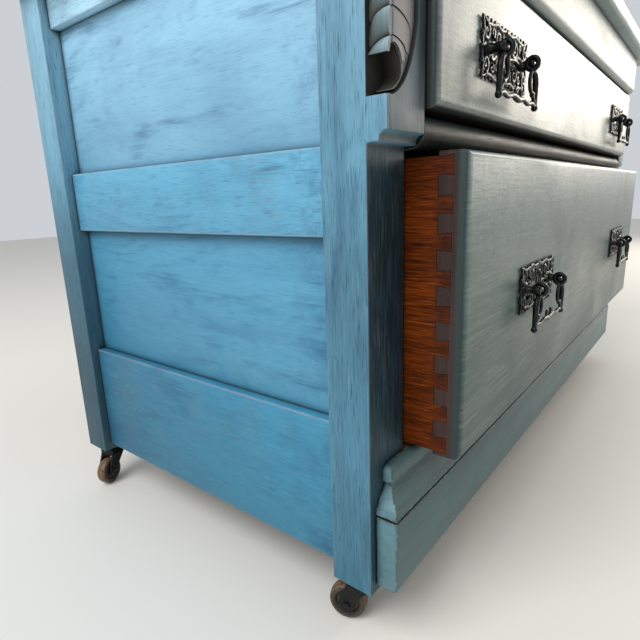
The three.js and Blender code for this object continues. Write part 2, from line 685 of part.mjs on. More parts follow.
// The fork trails towards +X: a crown under the plate, a stem up the sleeve and an arm down each
// side of the wheel.
function fork() {
  const crown = cylinder("z", CASTER.crownRadius, CROWN_Z - CASTER.crown, CROWN_Z, 20);
  const stem = cylinder("z", CASTER.stemRadius, CROWN_Z - CASTER.crown, CASTER.stemLength, 12);
  const yoke = block([
    -CASTER.armWidth / 2,
    CASTER.armWidth / 2 + CASTER.trail / 4,
    -FORK_HALF - CASTER.arm,
    FORK_HALF + CASTER.arm,
    CROWN_Z - CASTER.crown,
    CROWN_Z - CASTER.crown / 2,
  ]);
  const arms = [-1, 1].map((side) => {
    const half = CASTER.armWidth / 2;
    const outline = new THREE.Shape();
    outline.moveTo(-half, CROWN_Z - CASTER.crown / 2);
    outline.lineTo(CASTER.trail - half, AXLE_Z);
    outline.absarc(CASTER.trail, AXLE_Z, half, Math.PI, 2 * Math.PI, false);
    outline.lineTo(half + CASTER.trail / 4, CROWN_Z - CASTER.crown / 2);
    const y = side > 0 ? FORK_HALF : -FORK_HALF - CASTER.arm;
    return prism("y", outline, y, y + CASTER.arm, 6);
  });
  const hole = cylinder("y", PIN_HOLE, -FORK_HALF * 2, FORK_HALF * 2, 12);
  const bored = hole.translate([CASTER.trail, 0, AXLE_Z]);
  return joined([crown, stem, yoke, ...arms]).subtract(bored);
}

function axle() {
  const half = FORK_HALF + CASTER.arm + GAP;
  const pin = cylinder("y", CASTER.axleRadius, -half - CASTER.axleHead, half + CASTER.axleHead, 12);
  const heads = [-1, 1].map((side) => {
    const from = side > 0 ? half : -half - CASTER.axleHead;
    return cylinder("y", CASTER.axleHeadRadius, from, from + CASTER.axleHead, 12);
  });
  return joined([pin, ...heads]);
}

// A crowned wooden wheel with a shallow recess in each face, turned round its own Y.
function wheel() {
  const half = WHEEL.width / 2;
  const bore = PIN_HOLE;
  const profile = [
    [bore, -half + WHEEL.recess],
    [WHEEL.recessRadius, -half + WHEEL.recess],
    [WHEEL.recessRadius + 1, -half],
    [WHEEL.radius - 2 * WHEEL.crown, -half],
    [WHEEL.radius - WHEEL.crown / 2, -half + WHEEL.crown],
    [WHEEL.radius, 0],
    [WHEEL.radius - WHEEL.crown / 2, half - WHEEL.crown],
    [WHEEL.radius - 2 * WHEEL.crown, half],
    [WHEEL.recessRadius + 1, half],
    [WHEEL.recessRadius, half - WHEEL.recess],
    [bore, half - WHEEL.recess],
    [bore, -half + WHEEL.recess],
  ].map(([r, y]) => new THREE.Vector2(r, y));
  return solid(new THREE.LatheGeometry(profile, 24));
}

// Each caster's name, its stem's place and the way it trails, anticlockwise from +X in degrees.
const CASTERS = [
  ["front_left", STEM_X, FRONT_STEM_Y, 110],
  ["front_right", -STEM_X, FRONT_STEM_Y, 70],
  ["rear_left", STEM_X, REAR_STEM_Y, 200],
  ["rear_right", -STEM_X, REAR_STEM_Y, 290],
];
for (const [name, x, y, trailsTo] of CASTERS) {
  const caster = new THREE.Group();
  caster.position.set(x, y, CASTER_HEIGHT);
  dresser.add(caster);
  place(caster, name + "_caster_socket", casterSocket(), BLACK_METAL);
  const swivel = new THREE.Group();
  swivel.rotation.z = THREE.MathUtils.degToRad(trailsTo);
  caster.add(swivel);
  place(swivel, name + "_caster_fork", fork(), BLACK_METAL);
  place(swivel, name + "_caster_axle", axle(), BLACK_METAL).position.set(CASTER.trail, 0, AXLE_Z);
  place(swivel, name + "_caster_wheel", wheel(), WHEEL_WOOD).position.set(CASTER.trail, 0, AXLE_Z);
}

// ---- Origin: on the floor, below the middle of the whole object -----------------------------

const bounds = new THREE.Box3().setFromObject(dresser, true);
const centre = bounds.getCenter(new THREE.Vector3());
dresser.position.set(-centre.x, -centre.y, -bounds.min.z);

export default dresser;
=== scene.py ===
import math

import bmesh
import bpy
from mathutils import Matrix, Vector


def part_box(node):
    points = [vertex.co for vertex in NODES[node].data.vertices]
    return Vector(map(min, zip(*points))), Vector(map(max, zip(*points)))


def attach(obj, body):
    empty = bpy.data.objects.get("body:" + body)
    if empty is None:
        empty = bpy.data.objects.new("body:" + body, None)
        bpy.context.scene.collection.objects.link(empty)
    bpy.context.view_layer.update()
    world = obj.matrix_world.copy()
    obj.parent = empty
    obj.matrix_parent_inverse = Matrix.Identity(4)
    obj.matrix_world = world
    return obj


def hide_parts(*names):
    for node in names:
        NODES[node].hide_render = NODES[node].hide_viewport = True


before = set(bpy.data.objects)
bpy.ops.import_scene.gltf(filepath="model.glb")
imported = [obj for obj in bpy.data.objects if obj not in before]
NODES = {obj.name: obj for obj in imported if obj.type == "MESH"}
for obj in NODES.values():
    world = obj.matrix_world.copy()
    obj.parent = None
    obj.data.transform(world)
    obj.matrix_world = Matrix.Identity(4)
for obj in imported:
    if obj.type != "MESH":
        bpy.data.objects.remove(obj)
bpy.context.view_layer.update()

# Shapes are worked out in millimetres and turned into metres when a mesh is made.
MM = 0.001
GAP = 0.3
SIDES = ("left", "right")
CORNERS = ("front_left", "front_right", "rear_left", "rear_right")
DRAWERS = ("lower_drawer", "upper_drawer")


def corners(node):
    """Lowest and highest corner of a CAD node in millimetres."""
    low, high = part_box(node)
    return low / MM, high / MM


# ---- Places taken from the frame ----

POST_LOW, POST_HIGH = corners("left_front_post")
REAR_LOW, REAR_HIGH = corners("left_rear_post")
BEARER_LOW, BEARER_HIGH = corners("front_bearer")
LOWER_LOW, LOWER_HIGH = corners("lower_drawer_front")
UPPER_LOW, UPPER_HIGH = corners("upper_drawer_front")
FASCIA_LOW, FASCIA_HIGH = corners("base_fascia")
MOULDING_LOW, MOULDING_HIGH = corners("base_moulding")
ROUND_LOW, ROUND_HIGH = corners("half_round_rail")
FRIEZE_LOW, FRIEZE_HIGH = corners("frieze_rail")
TOP_LOW, TOP_HIGH = corners("top_board")

LEFT = POST_LOW.x
INNER = POST_HIGH.x
FRONT = BEARER_LOW.y - GAP  # front face of the posts below their blocks
BLOCK_FRONT = POST_LOW.y
FOOT = POST_LOW.z
POST_TOP = POST_HIGH.z

BLOCK_BOTTOM = UPPER_LOW.z - 17
COVE_DROP = 6.6
COVE_FORWARD = 9.3
RECESS_LEDGE = BLOCK_BOTTOM + 21
RECESS_SOFFIT = POST_TOP + GAP - 14
RECESS_WIDTH = 38


# ---- Mesh making ----

def link(name, mesh):
    obj = bpy.data.objects.new(name, mesh)
    bpy.context.scene.collection.objects.link(obj)
    return obj


class Solid:
    """Collects closed shells, in millimetres, and makes one object of them."""

    def __init__(self):
        self.points = []
        self.faces = []

    def shell(self, points, faces):
        first = len(self.points)
        self.points += [Vector(p) for p in points]
        self.faces += [[first + i for i in face] for face in faces]
        return self

    def rings(self, rings):
        """A shell through closed rings of equal length, with flat ends."""
        count = len(rings[0])
        points = [p for ring in rings for p in ring]
        faces = [list(range(count)), [len(points) - 1 - i for i in range(count)]]
        for level in range(len(rings) - 1):
            a = level * count
            for i in range(count):
                j = (i + 1) % count
                faces.append([a + i, a + count + i, a + count + j, a + j])
        return self.shell(points, faces)

    def loop(self, rings, shift=0):
        """A shell through closed rings that comes back to its first ring, shift places round."""
        count, size = len(rings), len(rings[0])
        faces = []
        for level in range(count):
            turn = shift if level == count - 1 else 0
            a, b = level * size, (level + 1) % count * size
            for i in range(size):
                j = (i + 1) % size
                faces.append([a + i, a + j, b + (j - turn) % size, b + (i - turn) % size])
        return self.shell([p for ring in rings for p in ring], faces)

    def prism(self, axis, outline, start, end):
        """An outline pushed along an axis: (y, z) along x, (x, z) along y, (x, y) along z."""
        def at(distance, u, v):
            return {"x": (distance, u, v), "y": (u, distance, v), "z": (u, v, distance)}[axis]
        return self.rings([[at(d, u, v) for u, v in outline] for d in (start, end)])

    def tube(self, route, radii, sides=8, flat=1.0, closed=False):
        """A round bar along a route; flat squeezes it in Y."""
        route = [Vector(p) for p in route]
        if isinstance(radii, (int, float)):
            radii = [radii] * len(route)
        rings = []
        side = None
        last = len(route) - 1
        for i, point in enumerate(route):
            before = route[(i - 1) % len(route)] if closed else route[max(i - 1, 0)]
            after = route[(i + 1) % len(route)] if closed else route[min(i + 1, last)]
            forward = (after - before).normalized()
            if side is None:
                side = forward.orthogonal().normalized()
            side = (side - forward * side.dot(forward)).normalized()
            other = forward.cross(side)
            ring = []
            for angle in turn_round(sides):
                offset = (side * math.cos(angle) + other * math.sin(angle)) * radii[i]
                offset.y *= flat
                ring.append(point + offset)
            rings.append(ring)
        if not closed:
            return self.rings(rings)

        # The first ring's numbering is turned so that the last one meets it without a twist.
        def miss(turn):
            return (rings[-1][turn] - rings[0][0]).length
        return self.loop(rings, min(range(sides), key=miss))

    def lathe(self, profile, centre, axis="z", steps=32):
        """Pairs of radius and height turned round an axis; the profile starts and ends on it."""
        rings = []
        for radius, height in profile:
            ring = []
            for angle in turn_round(steps):
                u, v = radius * math.cos(angle), radius * math.sin(angle)
                offset = {"z": (u, v, height), "y": (u, height, v), "x": (height, u, v)}[axis]
                ring.append(Vector(centre) + Vector(offset))
            rings.append(ring)
        return self.rings(rings)

    def ball(self, centre, radius, squeeze=(1, 1, 1), steps=10):
        half = steps // 2 + 1
        angles = [math.pi * i / half for i in range(1, half)]
        profile = [(radius * math.sin(a), -radius * math.cos(a)) for a in angles]
        start = len(self.points)
        self.lathe(profile, (0, 0, 0), "z", steps)
        for p in self.points[start:]:
            p.x = centre[0] + p.x * squeeze[0]
            p.y = centre[1] + p.y * squeeze[1]
            p.z = centre[2] + p.z * squeeze[2]
        return self

    def make(self, name, smooth=35, mirror=False):
        sign = -1 if mirror else 1
        mesh = bpy.data.meshes.new(name)
        points = [(p.x * MM * sign, p.y * MM, p.z * MM) for p in self.points]
        mesh.from_pydata(points, [], self.faces)
        tidy = bmesh.new()
        tidy.from_mesh(mesh)
        bmesh.ops.recalc_face_normals(tidy, faces=tidy.faces)
        tidy.to_mesh(mesh)
        tidy.free()
        shade(mesh, smooth)
        return link(name, mesh)


def shade(mesh, angle):
    mesh.shade_smooth()
    mesh.set_sharp_from_angle(angle=math.radians(angle))


def settled(obj):
    """Applies an object's modifiers to its mesh."""
    graph = bpy.context.evaluated_depsgraph_get()
    mesh = bpy.data.meshes.new_from_object(obj.evaluated_get(graph))
    obj.modifiers.clear()
    obj.data = mesh
    return obj


def eased(obj, width, segments=3, angle=30, smooth=35):
    """Rounds an object's arrises off."""
    bevel = obj.modifiers.new("ease", "BEVEL")
    bevel.width = width * MM
    bevel.segments = segments
    bevel.limit_method = "ANGLE"
    bevel.angle_limit = math.radians(angle)
    bevel.harden_normals = False
    settled(obj)
    shade(obj.data, smooth)
    return obj


def without(obj, cutter):
    """Cuts one object out of another and removes the cutter."""
    cut = obj.modifiers.new("cut", "BOOLEAN")
    cut.operation = "DIFFERENCE"
    cut.solver = "EXACT"
    cut.object = cutter
    settled(obj)
    bpy.data.objects.remove(cutter)
    return obj


def block(name, low, high, ease=1.0, segments=3, mirror=False):
    x0, y0, z0 = low
    x1, y1, z1 = high
    outline = [(x0, y0), (x1, y0), (x1, y1), (x0, y1)]
    made = Solid().prism("z", outline, z0, z1).make(name, mirror=mirror)
    return eased(made, ease, segments) if ease else made


def round_over(radius, steps):
    """Pairs of inset and depth for an arris rounded over, from the face to the side."""
    angles = [math.radians(90 * i / steps) for i in range(steps + 1)]
    return [(radius * (1 - math.sin(a)), radius * (1 - math.cos(a))) for a in angles]


def arc(centre, radius, start, end, steps, squash=1.0):
    """Points of an arc in a plane; squash scales its second coordinate."""
    points = []
    for i in range(steps + 1):
        angle = math.radians(start + (end - start) * i / steps)
        u = centre[0] + radius * math.cos(angle)
        points.append((u, centre[1] + radius * squash * math.sin(angle)))
    return points


def turn_round(steps):
    """Angles of a whole turn."""
    return [2 * math.pi * i / steps for i in range(steps)]


def curve_through(points, steps=8):
    """A smooth Catmull-Rom line through points."""
    points = [Vector(p) for p in points]
    padded = [2 * points[0] - points[1]] + points + [2 * points[-1] - points[-2]]
    line = []
    for i in range(1, len(padded) - 2):
        a, b, c, d = padded[i - 1:i + 3]
        for k in range(steps):
            t = k / steps
            line.append(0.5 * (2 * b + (c - a) * t + (2 * a - 5 * b + 4 * c - d) * t ** 2
                               + (3 * b - a - 3 * c + d) * t ** 3))
    return line + [points[-1]]


# ---- Materials ----

def tone(red, green, blue):
    """An sRGB colour, 0 to 255, as linear RGBA."""
    def linear(value):
        value = value / 255
        return value / 12.92 if value <= 0.04045 else ((value + 0.055) / 1.055) ** 2.4
    return (linear(red), linear(green), linear(blue), 1)


class Graph:
    """A material's node tree, with short calls for the nodes that these finishes use."""

    def __init__(self, name):
        self.material = bpy.data.materials.new(name)
        self.material.use_nodes = True
        self.tree = self.material.node_tree
        self.tree.nodes.clear()
        self.output = self.tree.nodes.new("ShaderNodeOutputMaterial")
        self.place = self.node("ShaderNodeTexCoord").outputs["Object"]
        self.axes = self.node("ShaderNodeSeparateXYZ", Vector=self.place).outputs

    def node(self, kind, options=None, **inputs):
        made = self.tree.nodes.new(kind)
        for key, value in (options or {}).items():
            setattr(made, key, value)
        for key, value in inputs.items():
            self.feed(made.inputs[key.replace("_", " ")], value)
        return made

    def feed(self, socket, value):
        if isinstance(value, bpy.types.NodeSocket):
            self.tree.links.new(value, socket)
        else:
            socket.default_value = value

    def maths(self, operation, a, b=0.0):
        made = self.node("ShaderNodeMath", {"operation": operation})
        self.feed(made.inputs[0], a)
        self.feed(made.inputs[1], b)
        return made.outputs[0]

    def times(self, first, *others):
        for other in others:
            first = self.maths("MULTIPLY", first, other)
        return first

    def total(self, *parts):
        """The sum of pairs of value and weight."""
        weighed = [self.times(value, weight) for value, weight in parts]
        made = weighed[0]
        for part in weighed[1:]:
            made = self.maths("ADD", made, part)
        return made

    def vectors(self, operation, a, b):
        made = self.node("ShaderNodeVectorMath", {"operation": operation})
        self.feed(made.inputs[0], a)
        self.feed(made.inputs[1], b)
        return made.outputs

    def distance(self, point):
        """How far a place is from a point in millimetres."""
        return self.vectors("DISTANCE", self.place, Vector(point) * MM)["Value"]

    def noise(self, factors, detail=4, roughness=0.6, distortion=0.0):
        """Noise with the given number of cells a metre along x, y and z."""
        scaled = self.vectors("MULTIPLY", self.place, factors)["Vector"]
        made = self.node("ShaderNodeTexNoise", Vector=scaled, Scale=1.0,
                         Detail=detail, Roughness=roughness, Distortion=distortion)
        return made.outputs[0]

    def span(self, value, low, high, start=0.0, end=1.0):
        """Value from low..high onto start..end, held at the ends."""
        made = self.node("ShaderNodeMapRange", Value=value, From_Min=low, From_Max=high,
                         To_Min=start, To_Max=end)
        return made.outputs[0]

    def mix(self, factor, a, b):
        made = self.node("ShaderNodeMix", {"data_type": "RGBA"})
        self.feed(made.inputs[0], factor)
        self.feed(made.inputs[6], a)
        self.feed(made.inputs[7], b)
        return made.outputs[2]

    def coats(self, colour, *coats):
        """Lays coats over a colour: pairs of cover, 0 to 1, and colour."""
        for cover, coat in coats:
            colour = self.mix(cover, colour, coat)
        return colour

    def ramp(self, value, stops):
        """Colours at places from 0 to 1."""
        made = self.node("ShaderNodeValToRGB", Fac=value)
        steps = made.color_ramp.elements
        while len(steps) < len(stops):
            steps.new(0.5)
        for step, (place, colour) in zip(steps, stops):
            step.position = place
            step.color = colour
        return made.outputs[0]

    def heights(self, tones):
        """Colour by height: pairs of millimetres above the floor and colour."""
        low, high = tones[0][0], tones[-1][0]
        value = self.span(self.axes["Z"], low * MM, high * MM)
        return self.ramp(value, [((z - low) / (high - low), colour) for z, colour in tones])

    def outward(self, axis):
        """A part of the surface's direction, taken in the object's own space."""
        normal = self.node("ShaderNodeTexCoord").outputs["Normal"]
        return self.node("ShaderNodeSeparateXYZ", Vector=normal).outputs[axis]

    def facing(self, axis, start, end):
        """How far the surface faces an axis."""
        return self.span(self.outward(axis), start, end)

    def edges(self, radius):
        """1 on arrises, 0 on flats."""
        bevel = self.node("ShaderNodeBevel", {"samples": 6}, Radius=radius * MM)
        normal = self.node("ShaderNodeNewGeometry").outputs["Normal"]
        likeness = self.vectors("DOT_PRODUCT", bevel.outputs[0], normal)["Value"]
        return self.span(likeness, 0.995, 0.93)

    def crevices(self, distance, start=0.85, end=0.35):
        """1 in corners and gaps, 0 in the open."""
        made = self.node("ShaderNodeAmbientOcclusion", {"samples": 6}, Distance=distance * MM)
        return self.span(made.outputs["AO"], start, end)

    def bump(self, height, distance, strength):
        made = self.node("ShaderNodeBump", Height=height, Distance=distance * MM,
                         Strength=strength)
        return made.outputs[0]

    def finish(self, colour, roughness, normal, metallic=0.0, specular=0.5):
        shader = self.node("ShaderNodeBsdfPrincipled")
        self.feed(shader.inputs["Base Color"], colour)
        self.feed(shader.inputs["Roughness"], roughness)
        shader.inputs["Metallic"].default_value = metallic
        shader.inputs["Specular IOR Level"].default_value = specular
        self.feed(shader.inputs["Normal"], normal)
        self.tree.links.new(shader.outputs[0], self.output.inputs[0])
        return self.material


def along(axis, fine, coarse):
    """Cells a metre for a grain that runs along an axis."""
    return tuple(coarse if name == axis else fine for name in "xyz")


def ground_paint(g, tones, front, rearward, aside):
    """The paint's colour by height, and by which way the surface faces: front faces take their own
    tones, partly a deeper paint and partly painted shade.
    """
    base = g.heights(tones)
    if rearward is not None:
        # Deeper towards the back and the floor.
        back = g.span(g.axes["Y"], -0.12, 0.25)
        low = g.span(g.axes["Z"], 0.42, 0.16)
        base = g.mix(g.times(back, low, 0.9), base, rearward)
    # Front faces: a deeper paint, darkened further as painted shade.
    if front is not None:
        base = g.mix(g.facing("Y", -0.35, -0.75), base, g.heights(front))
    if aside is not None:
        sideways = g.maths("ABSOLUTE", g.outward("X"))
        base = g.mix(g.span(sideways, 0.4, 0.8), base, aside)
    return base


def smudged(g, colour, axis, smudge, joint, swathe):
    """Rubbed patches next to the front post, and broad brushed swathes along the grain."""
    if joint is not None:
        near = g.span(g.axes["Y"], (joint + 60) * MM, joint * MM)
        rags = g.span(g.noise((26, 26, 34), 5, 0.72), 0.46, 0.62, 0, 0.6)
        colour = g.mix(g.times(near, rags), colour, smudge)
    swathes = g.span(g.noise(along(axis, 22, 7), 3, 0.6, 0.9), 0.52, 0.68, 0, swathe)
    bristles = g.span(g.noise(along(axis, 300, 16), 5, 0.75), 0.62, 0.42)
    return g.mix(g.times(swathes, bristles), colour, smudge)


def wear_and_painted_shade(g, colour, rim, worn, wear, pale):
    """Painted shade in the corners and gaps, painted highlight along the arrises, and patchy wear on
    them.
    """
    edge = g.edges(rim)
    breaks = g.span(g.noise((150, 150, 150), 5, 0.75), 0.42, 0.52)
    return g.coats(
        colour,
        # Painted shade: broad in corners and gaps, then tighter and darker in the narrowest gaps.
        (g.times(g.crevices(9), 0.7), tone(14, 44, 54)),
        (g.times(g.crevices(3, 0.8, 0.45), 0.9), tone(8, 18, 20)),
        # Painted highlight along every arris, then patchy wear on them.
        (g.times(edge, 0.3), pale),
        (g.times(edge, breaks, worn), wear))


def painted(name, tones, axis, front=None, smudge=tone(20, 62, 88), smudges=0.3, pores=0.5,
            wear=tone(118, 70, 54), worn=0.5, pale=tone(170, 208, 224), rough=0.5, streaks=0.16,
            fine=420, shift=0.0, rearward=None, specular=0.5, blush=0.0, aside=None, joint=None,
            rim=2.0, swathe=0.55, carved=False):
    """Brushed paint over open-grained oak: blended tones, strokes, pores and worn arrises, with painted
    shade in corners and gaps and painted highlight on the arrises.
    """
    g = Graph(name)
    clouds = g.noise((5 + shift, 5, 6), 3, 0.55, 0.5)
    strokes = g.noise(along(axis, fine, 24), 6, 0.75)
    broad = g.noise(along(axis, 46, 5), 5, 0.65, 0.3)
    across = g.noise((210, 210, 40) if axis == "z" else (30, 30, 210), 4, 0.7, 0.5)
    pore = g.span(g.noise(along(axis, 1300, 60), 3, 0.5), 0.42, 0.32)

    colour = g.coats(
        ground_paint(g, tones, front, rearward, aside),
        (g.span(strokes, 0.5, 0.72, 0, streaks * 0.6), pale),
        (g.span(broad, 0.52, 0.3, 0, streaks * 1.3), smudge),
        (g.span(across, 0.5, 0.28, 0, streaks), smudge),
        (g.span(clouds, 0.54, 0.76, 0, smudges), smudge))
    colour = smudged(g, colour, axis, smudge, joint, swathe)
    colour = g.mix(g.times(pore, pores), colour, smudge)
    colour = wear_and_painted_shade(g, colour, rim, worn, wear, pale)
    if blush:
        blots = g.span(g.noise((16, 16, 9), 4, 0.7), 0.54, 0.7, 0, blush)
        colour = g.mix(g.times(blots, g.span(strokes, 0.42, 0.6)), colour, tone(96, 92, 98))
    if carved:
        # Painted shadow of the drawer on the front of the post's block.
        shaded = g.times(drawer_shadow_mask(g), g.facing("Y", -0.35, -0.75))
        colour = g.mix(shaded, colour, tone(18, 44, 48))
        # The recess walls: the carving ground's dark brown, deepened as painted shade.
        colour = g.mix(in_recess(g), colour, tone(27, 27, 20))
    height = g.total((strokes, 0.4), (pore, -0.8), (across, 0.4))
    roughness = g.span(broad, 0.2, 0.8, rough - 0.08, rough + 0.12)
    return g.finish(colour, roughness, g.bump(height, 0.3, 0.4), specular=specular)


def drawer_shadow_mask(g):
    """1 on the inner part of the posts' blocks, where the drawer's painted shadow falls."""
    outside = g.maths("ABSOLUTE", g.axes["X"])
    inward = g.span(outside, (-LEFT - 27) * MM, (-LEFT - 42) * MM)
    high = g.span(g.axes["Z"], (BLOCK_BOTTOM + 18) * MM, (BLOCK_BOTTOM + 52) * MM, 0.25, 0.9)
    return g.times(inward, high)


def in_recess(g):
    """1 on the walls of the posts' carved recesses."""
    behind = g.span(g.axes["Y"], (BLOCK_FRONT + 0.1) * MM, (BLOCK_FRONT + 0.4) * MM)
    before = g.span(g.axes["Y"], (FRONT + 0.6) * MM, (FRONT + 0.3) * MM)
    above = g.span(g.axes["Z"], (RECESS_LEDGE - 1.2) * MM, (RECESS_LEDGE - 0.9) * MM)
    outside = g.maths("ABSOLUTE", g.axes["X"])
    beside = g.span(outside, (-LEFT - RECESS_WIDTH - 2) * MM, (-LEFT - RECESS_WIDTH - 1.5) * MM)
    inside = g.span(outside, (-LEFT - 0.05) * MM, (-LEFT - 0.3) * MM)
    return g.times(behind, before, above, beside, inside)


CORE_FROM = 7.3  # depth behind a drawer's face where its bare wood starts


def drawer_paint(name, face, screw_holes, rough=0.36):
    """Satin grey-green paint, brushed across and down, over a dark wood core behind the face, with
    painted shade in gaps and painted highlight on the arrises and the top arris.
    """
    g = Graph(name)
    across = g.noise((14, 14, 380), 5, 0.7)
    down = g.noise((420, 420, 16), 5, 0.7)
    clouds = g.noise((7, 7, 9), 4, 0.6, 0.6)
    ripples = g.noise((90, 90, 520), 4, 0.65, 0.6)
    specks = g.noise((900, 900, 300), 2, 0.5)

    edge = g.edges(2.5)
    breaks = g.span(g.noise((60, 60, 60), 4, 0.7), 0.4, 0.6)
    top_arris_highlight = g.times(g.facing("Z", 0.25, 0.7), g.facing("Y", -0.1, -0.3))
    grain = g.span(g.noise((300, 300, 12), 4, 0.6), 0.35, 0.7)
    wood = g.mix(grain, tone(24, 13, 11), tone(58, 29, 20))
    core = face + CORE_FROM
    colour = g.coats(
        g.heights(DRAWER_TONES),
        (g.span(ripples, 0.56, 0.36, 0, 0.4), tone(60, 78, 76)),
        (g.span(across, 0.48, 0.78, 0, 0.34), tone(168, 172, 162)),
        (g.span(down, 0.52, 0.3, 0, 0.34), tone(50, 68, 70)),
        (g.span(clouds, 0.48, 0.72, 0, 0.6), tone(44, 68, 74)),
        (g.span(specks, 0.38, 0.26, 0, 0.35), tone(34, 50, 52)),
        # Painted shade in gaps and corners.
        (g.times(g.crevices(6), 0.7), tone(16, 34, 36)),
        # Painted highlight along the arrises, then patchy wear on them.
        (g.times(edge, 0.3), tone(176, 184, 178)),
        (g.times(edge, breaks, 0.3), tone(120, 96, 74)),
        # Painted highlight on the rounded top arris.
        (g.times(top_arris_highlight, 0.6), tone(186, 204, 206)),
        # The round-over and the ends are a deep green.
        (g.times(g.facing("Y", -0.9, -0.55), 0.93), tone(14, 36, 38)),
        (g.span(g.axes["Y"], core * MM, (core + 0.6) * MM), wood))
    for x, z in screw_holes:
        filled = g.span(g.distance((x, face, z)), 2.6 * MM, 1.8 * MM, 0, 0.8)
        colour = g.mix(filled, colour, tone(70, 84, 80))
    height = g.total((across, 0.5), (down, 0.3), (ripples, 0.5))
    roughness = g.span(clouds, 0.2, 0.8, rough - 0.06, rough + 0.12)
    return g.finish(colour, roughness, g.bump(height, 0.4, 0.6))


def oak(name, axis, rough=0.4, joint=None):
    """Oiled quarter-sawn oak: fine wavy lines along the grain, a stain near the joint, and painted shade
    in corners and gaps.
    """
    g = Graph(name)
    fibre = g.noise(along(axis, 1000, 22), 5, 0.65, 0.4)
    lines = g.noise(along(axis, 560, 36), 3, 0.55, 1.2)
    figure = g.noise(along(axis, 24, 8), 4, 0.6, 0.8)
    pore = g.span(g.noise(along(axis, 1500, 40), 2, 0.5), 0.4, 0.3)
    blend = g.total((fibre, 0.3), (lines, 0.45), (figure, 0.25))
    colour = g.ramp(g.span(blend, 0.36, 0.68), [
        (0, tone(42, 14, 0)), (0.35, tone(72, 27, 0)), (0.7, tone(112, 48, 2)),
        (1, tone(158, 84, 18))])
    colour = g.mix(g.times(pore, 0.6), colour, tone(24, 9, 4))
    if joint is not None:
        stained = g.span(g.axes["Y"], (joint + 5) * MM, (joint - 4) * MM, 0, 0.75)
        patches = g.span(g.noise((60, 60, 60), 4, 0.7), 0.3, 0.62)
        colour = g.mix(g.times(stained, patches), colour, tone(34, 17, 14))
    # Painted shade in corners and gaps.
    colour = g.mix(g.times(g.crevices(4), 0.7), colour, tone(14, 7, 5))
    normal = g.bump(g.total((blend, 0.4), (pore, -0.6)), 0.3, 0.5)
    return g.finish(colour, g.span(fibre, 0.2, 0.8, rough, rough + 0.15), normal, specular=0.14)


def bare_wood(name, axis):
    """Old unfinished softwood with growth rings, dust and a little staining."""
    g = Graph(name)
    rings = g.noise(along(axis, 70, 3), 4, 0.6, 0.5)
    fibre = g.noise(along(axis, 500, 12), 4, 0.7)
    blend = g.total((rings, 0.7), (fibre, 0.3))
    colour = g.ramp(g.span(blend, 0.34, 0.68), [
        (0, tone(84, 60, 40)), (0.6, tone(150, 116, 82)), (1, tone(170, 138, 100))])
    stain = g.span(g.noise((6, 6, 6), 4, 0.6), 0.55, 0.75, 0, 0.5)
    colour = g.mix(stain, colour, tone(60, 44, 32))
    return g.finish(colour, g.span(fibre, 0.2, 0.8, 0.7, 0.88), g.bump(blend, 0.5, 0.5))


def cast_iron(name, rust, bright, rough, rust_above=None):
    """Blackened casting, rubbed bright on its high edges, with a little rust in the hollows."""
    g = Graph(name)
    grit = g.noise((900, 900, 900), 3, 0.6)
    patches = g.noise((120, 120, 120), 4, 0.65)
    black = g.mix(g.span(grit, 0.35, 0.7), tone(7, 10, 10), tone(22, 27, 27))
    rubbed = g.times(g.facing("Y", -0.9, -0.99), g.span(patches, 0.54, 0.62, 0, bright))
    colour = g.mix(rubbed, black, tone(176, 178, 184))
    rusty = g.span(patches, 0.6, 0.74, 0, rust)
    if rust_above is not None:
        crown = g.span(g.axes["Z"], rust_above * MM, (rust_above + 8) * MM, 0, 0.45)
        rusty = g.maths("MAXIMUM", rusty, g.times(crown, g.span(patches, 0.5, 0.62)))
    colour = g.mix(rusty, colour, tone(104, 58, 34))
    roughness = g.span(grit, 0.25, 0.75, rough - 0.08, rough + 0.18)
    return g.finish(colour, roughness, g.bump(grit, 0.12, 0.5), 0.35, 0.4)


def wheel_wood(name):
    """Turned wheels, nearly black on their faces and scuffed brown on the tread."""
    g = Graph(name)
    scuffs = g.noise((300, 300, 300), 4, 0.7)
    blotches = g.span(scuffs, 0.35, 0.7)
    face = g.mix(blotches, tone(18, 16, 13), tone(56, 48, 36))
    tread = g.mix(blotches, tone(58, 40, 26), tone(124, 94, 64))
    far = None
    for corner in CORNERS:
        low, high = corners(f"{corner}_caster_wheel")
        away = g.distance((low + high) / 2)
        far = away if far is None else g.maths("MINIMUM", far, away)
    colour = g.mix(g.span(far, 15.9 * MM, 16.8 * MM), face, tread)
    ring = g.maths("SINE", g.times(far, 2200.0))
    colour = g.mix(g.span(ring, 0.3, 1.0, 0, 0.35), colour, tone(104, 88, 62))
    return g.finish(colour, g.span(scuffs, 0.3, 0.7, 0.4, 0.62), g.bump(scuffs, 0.3, 0.5))


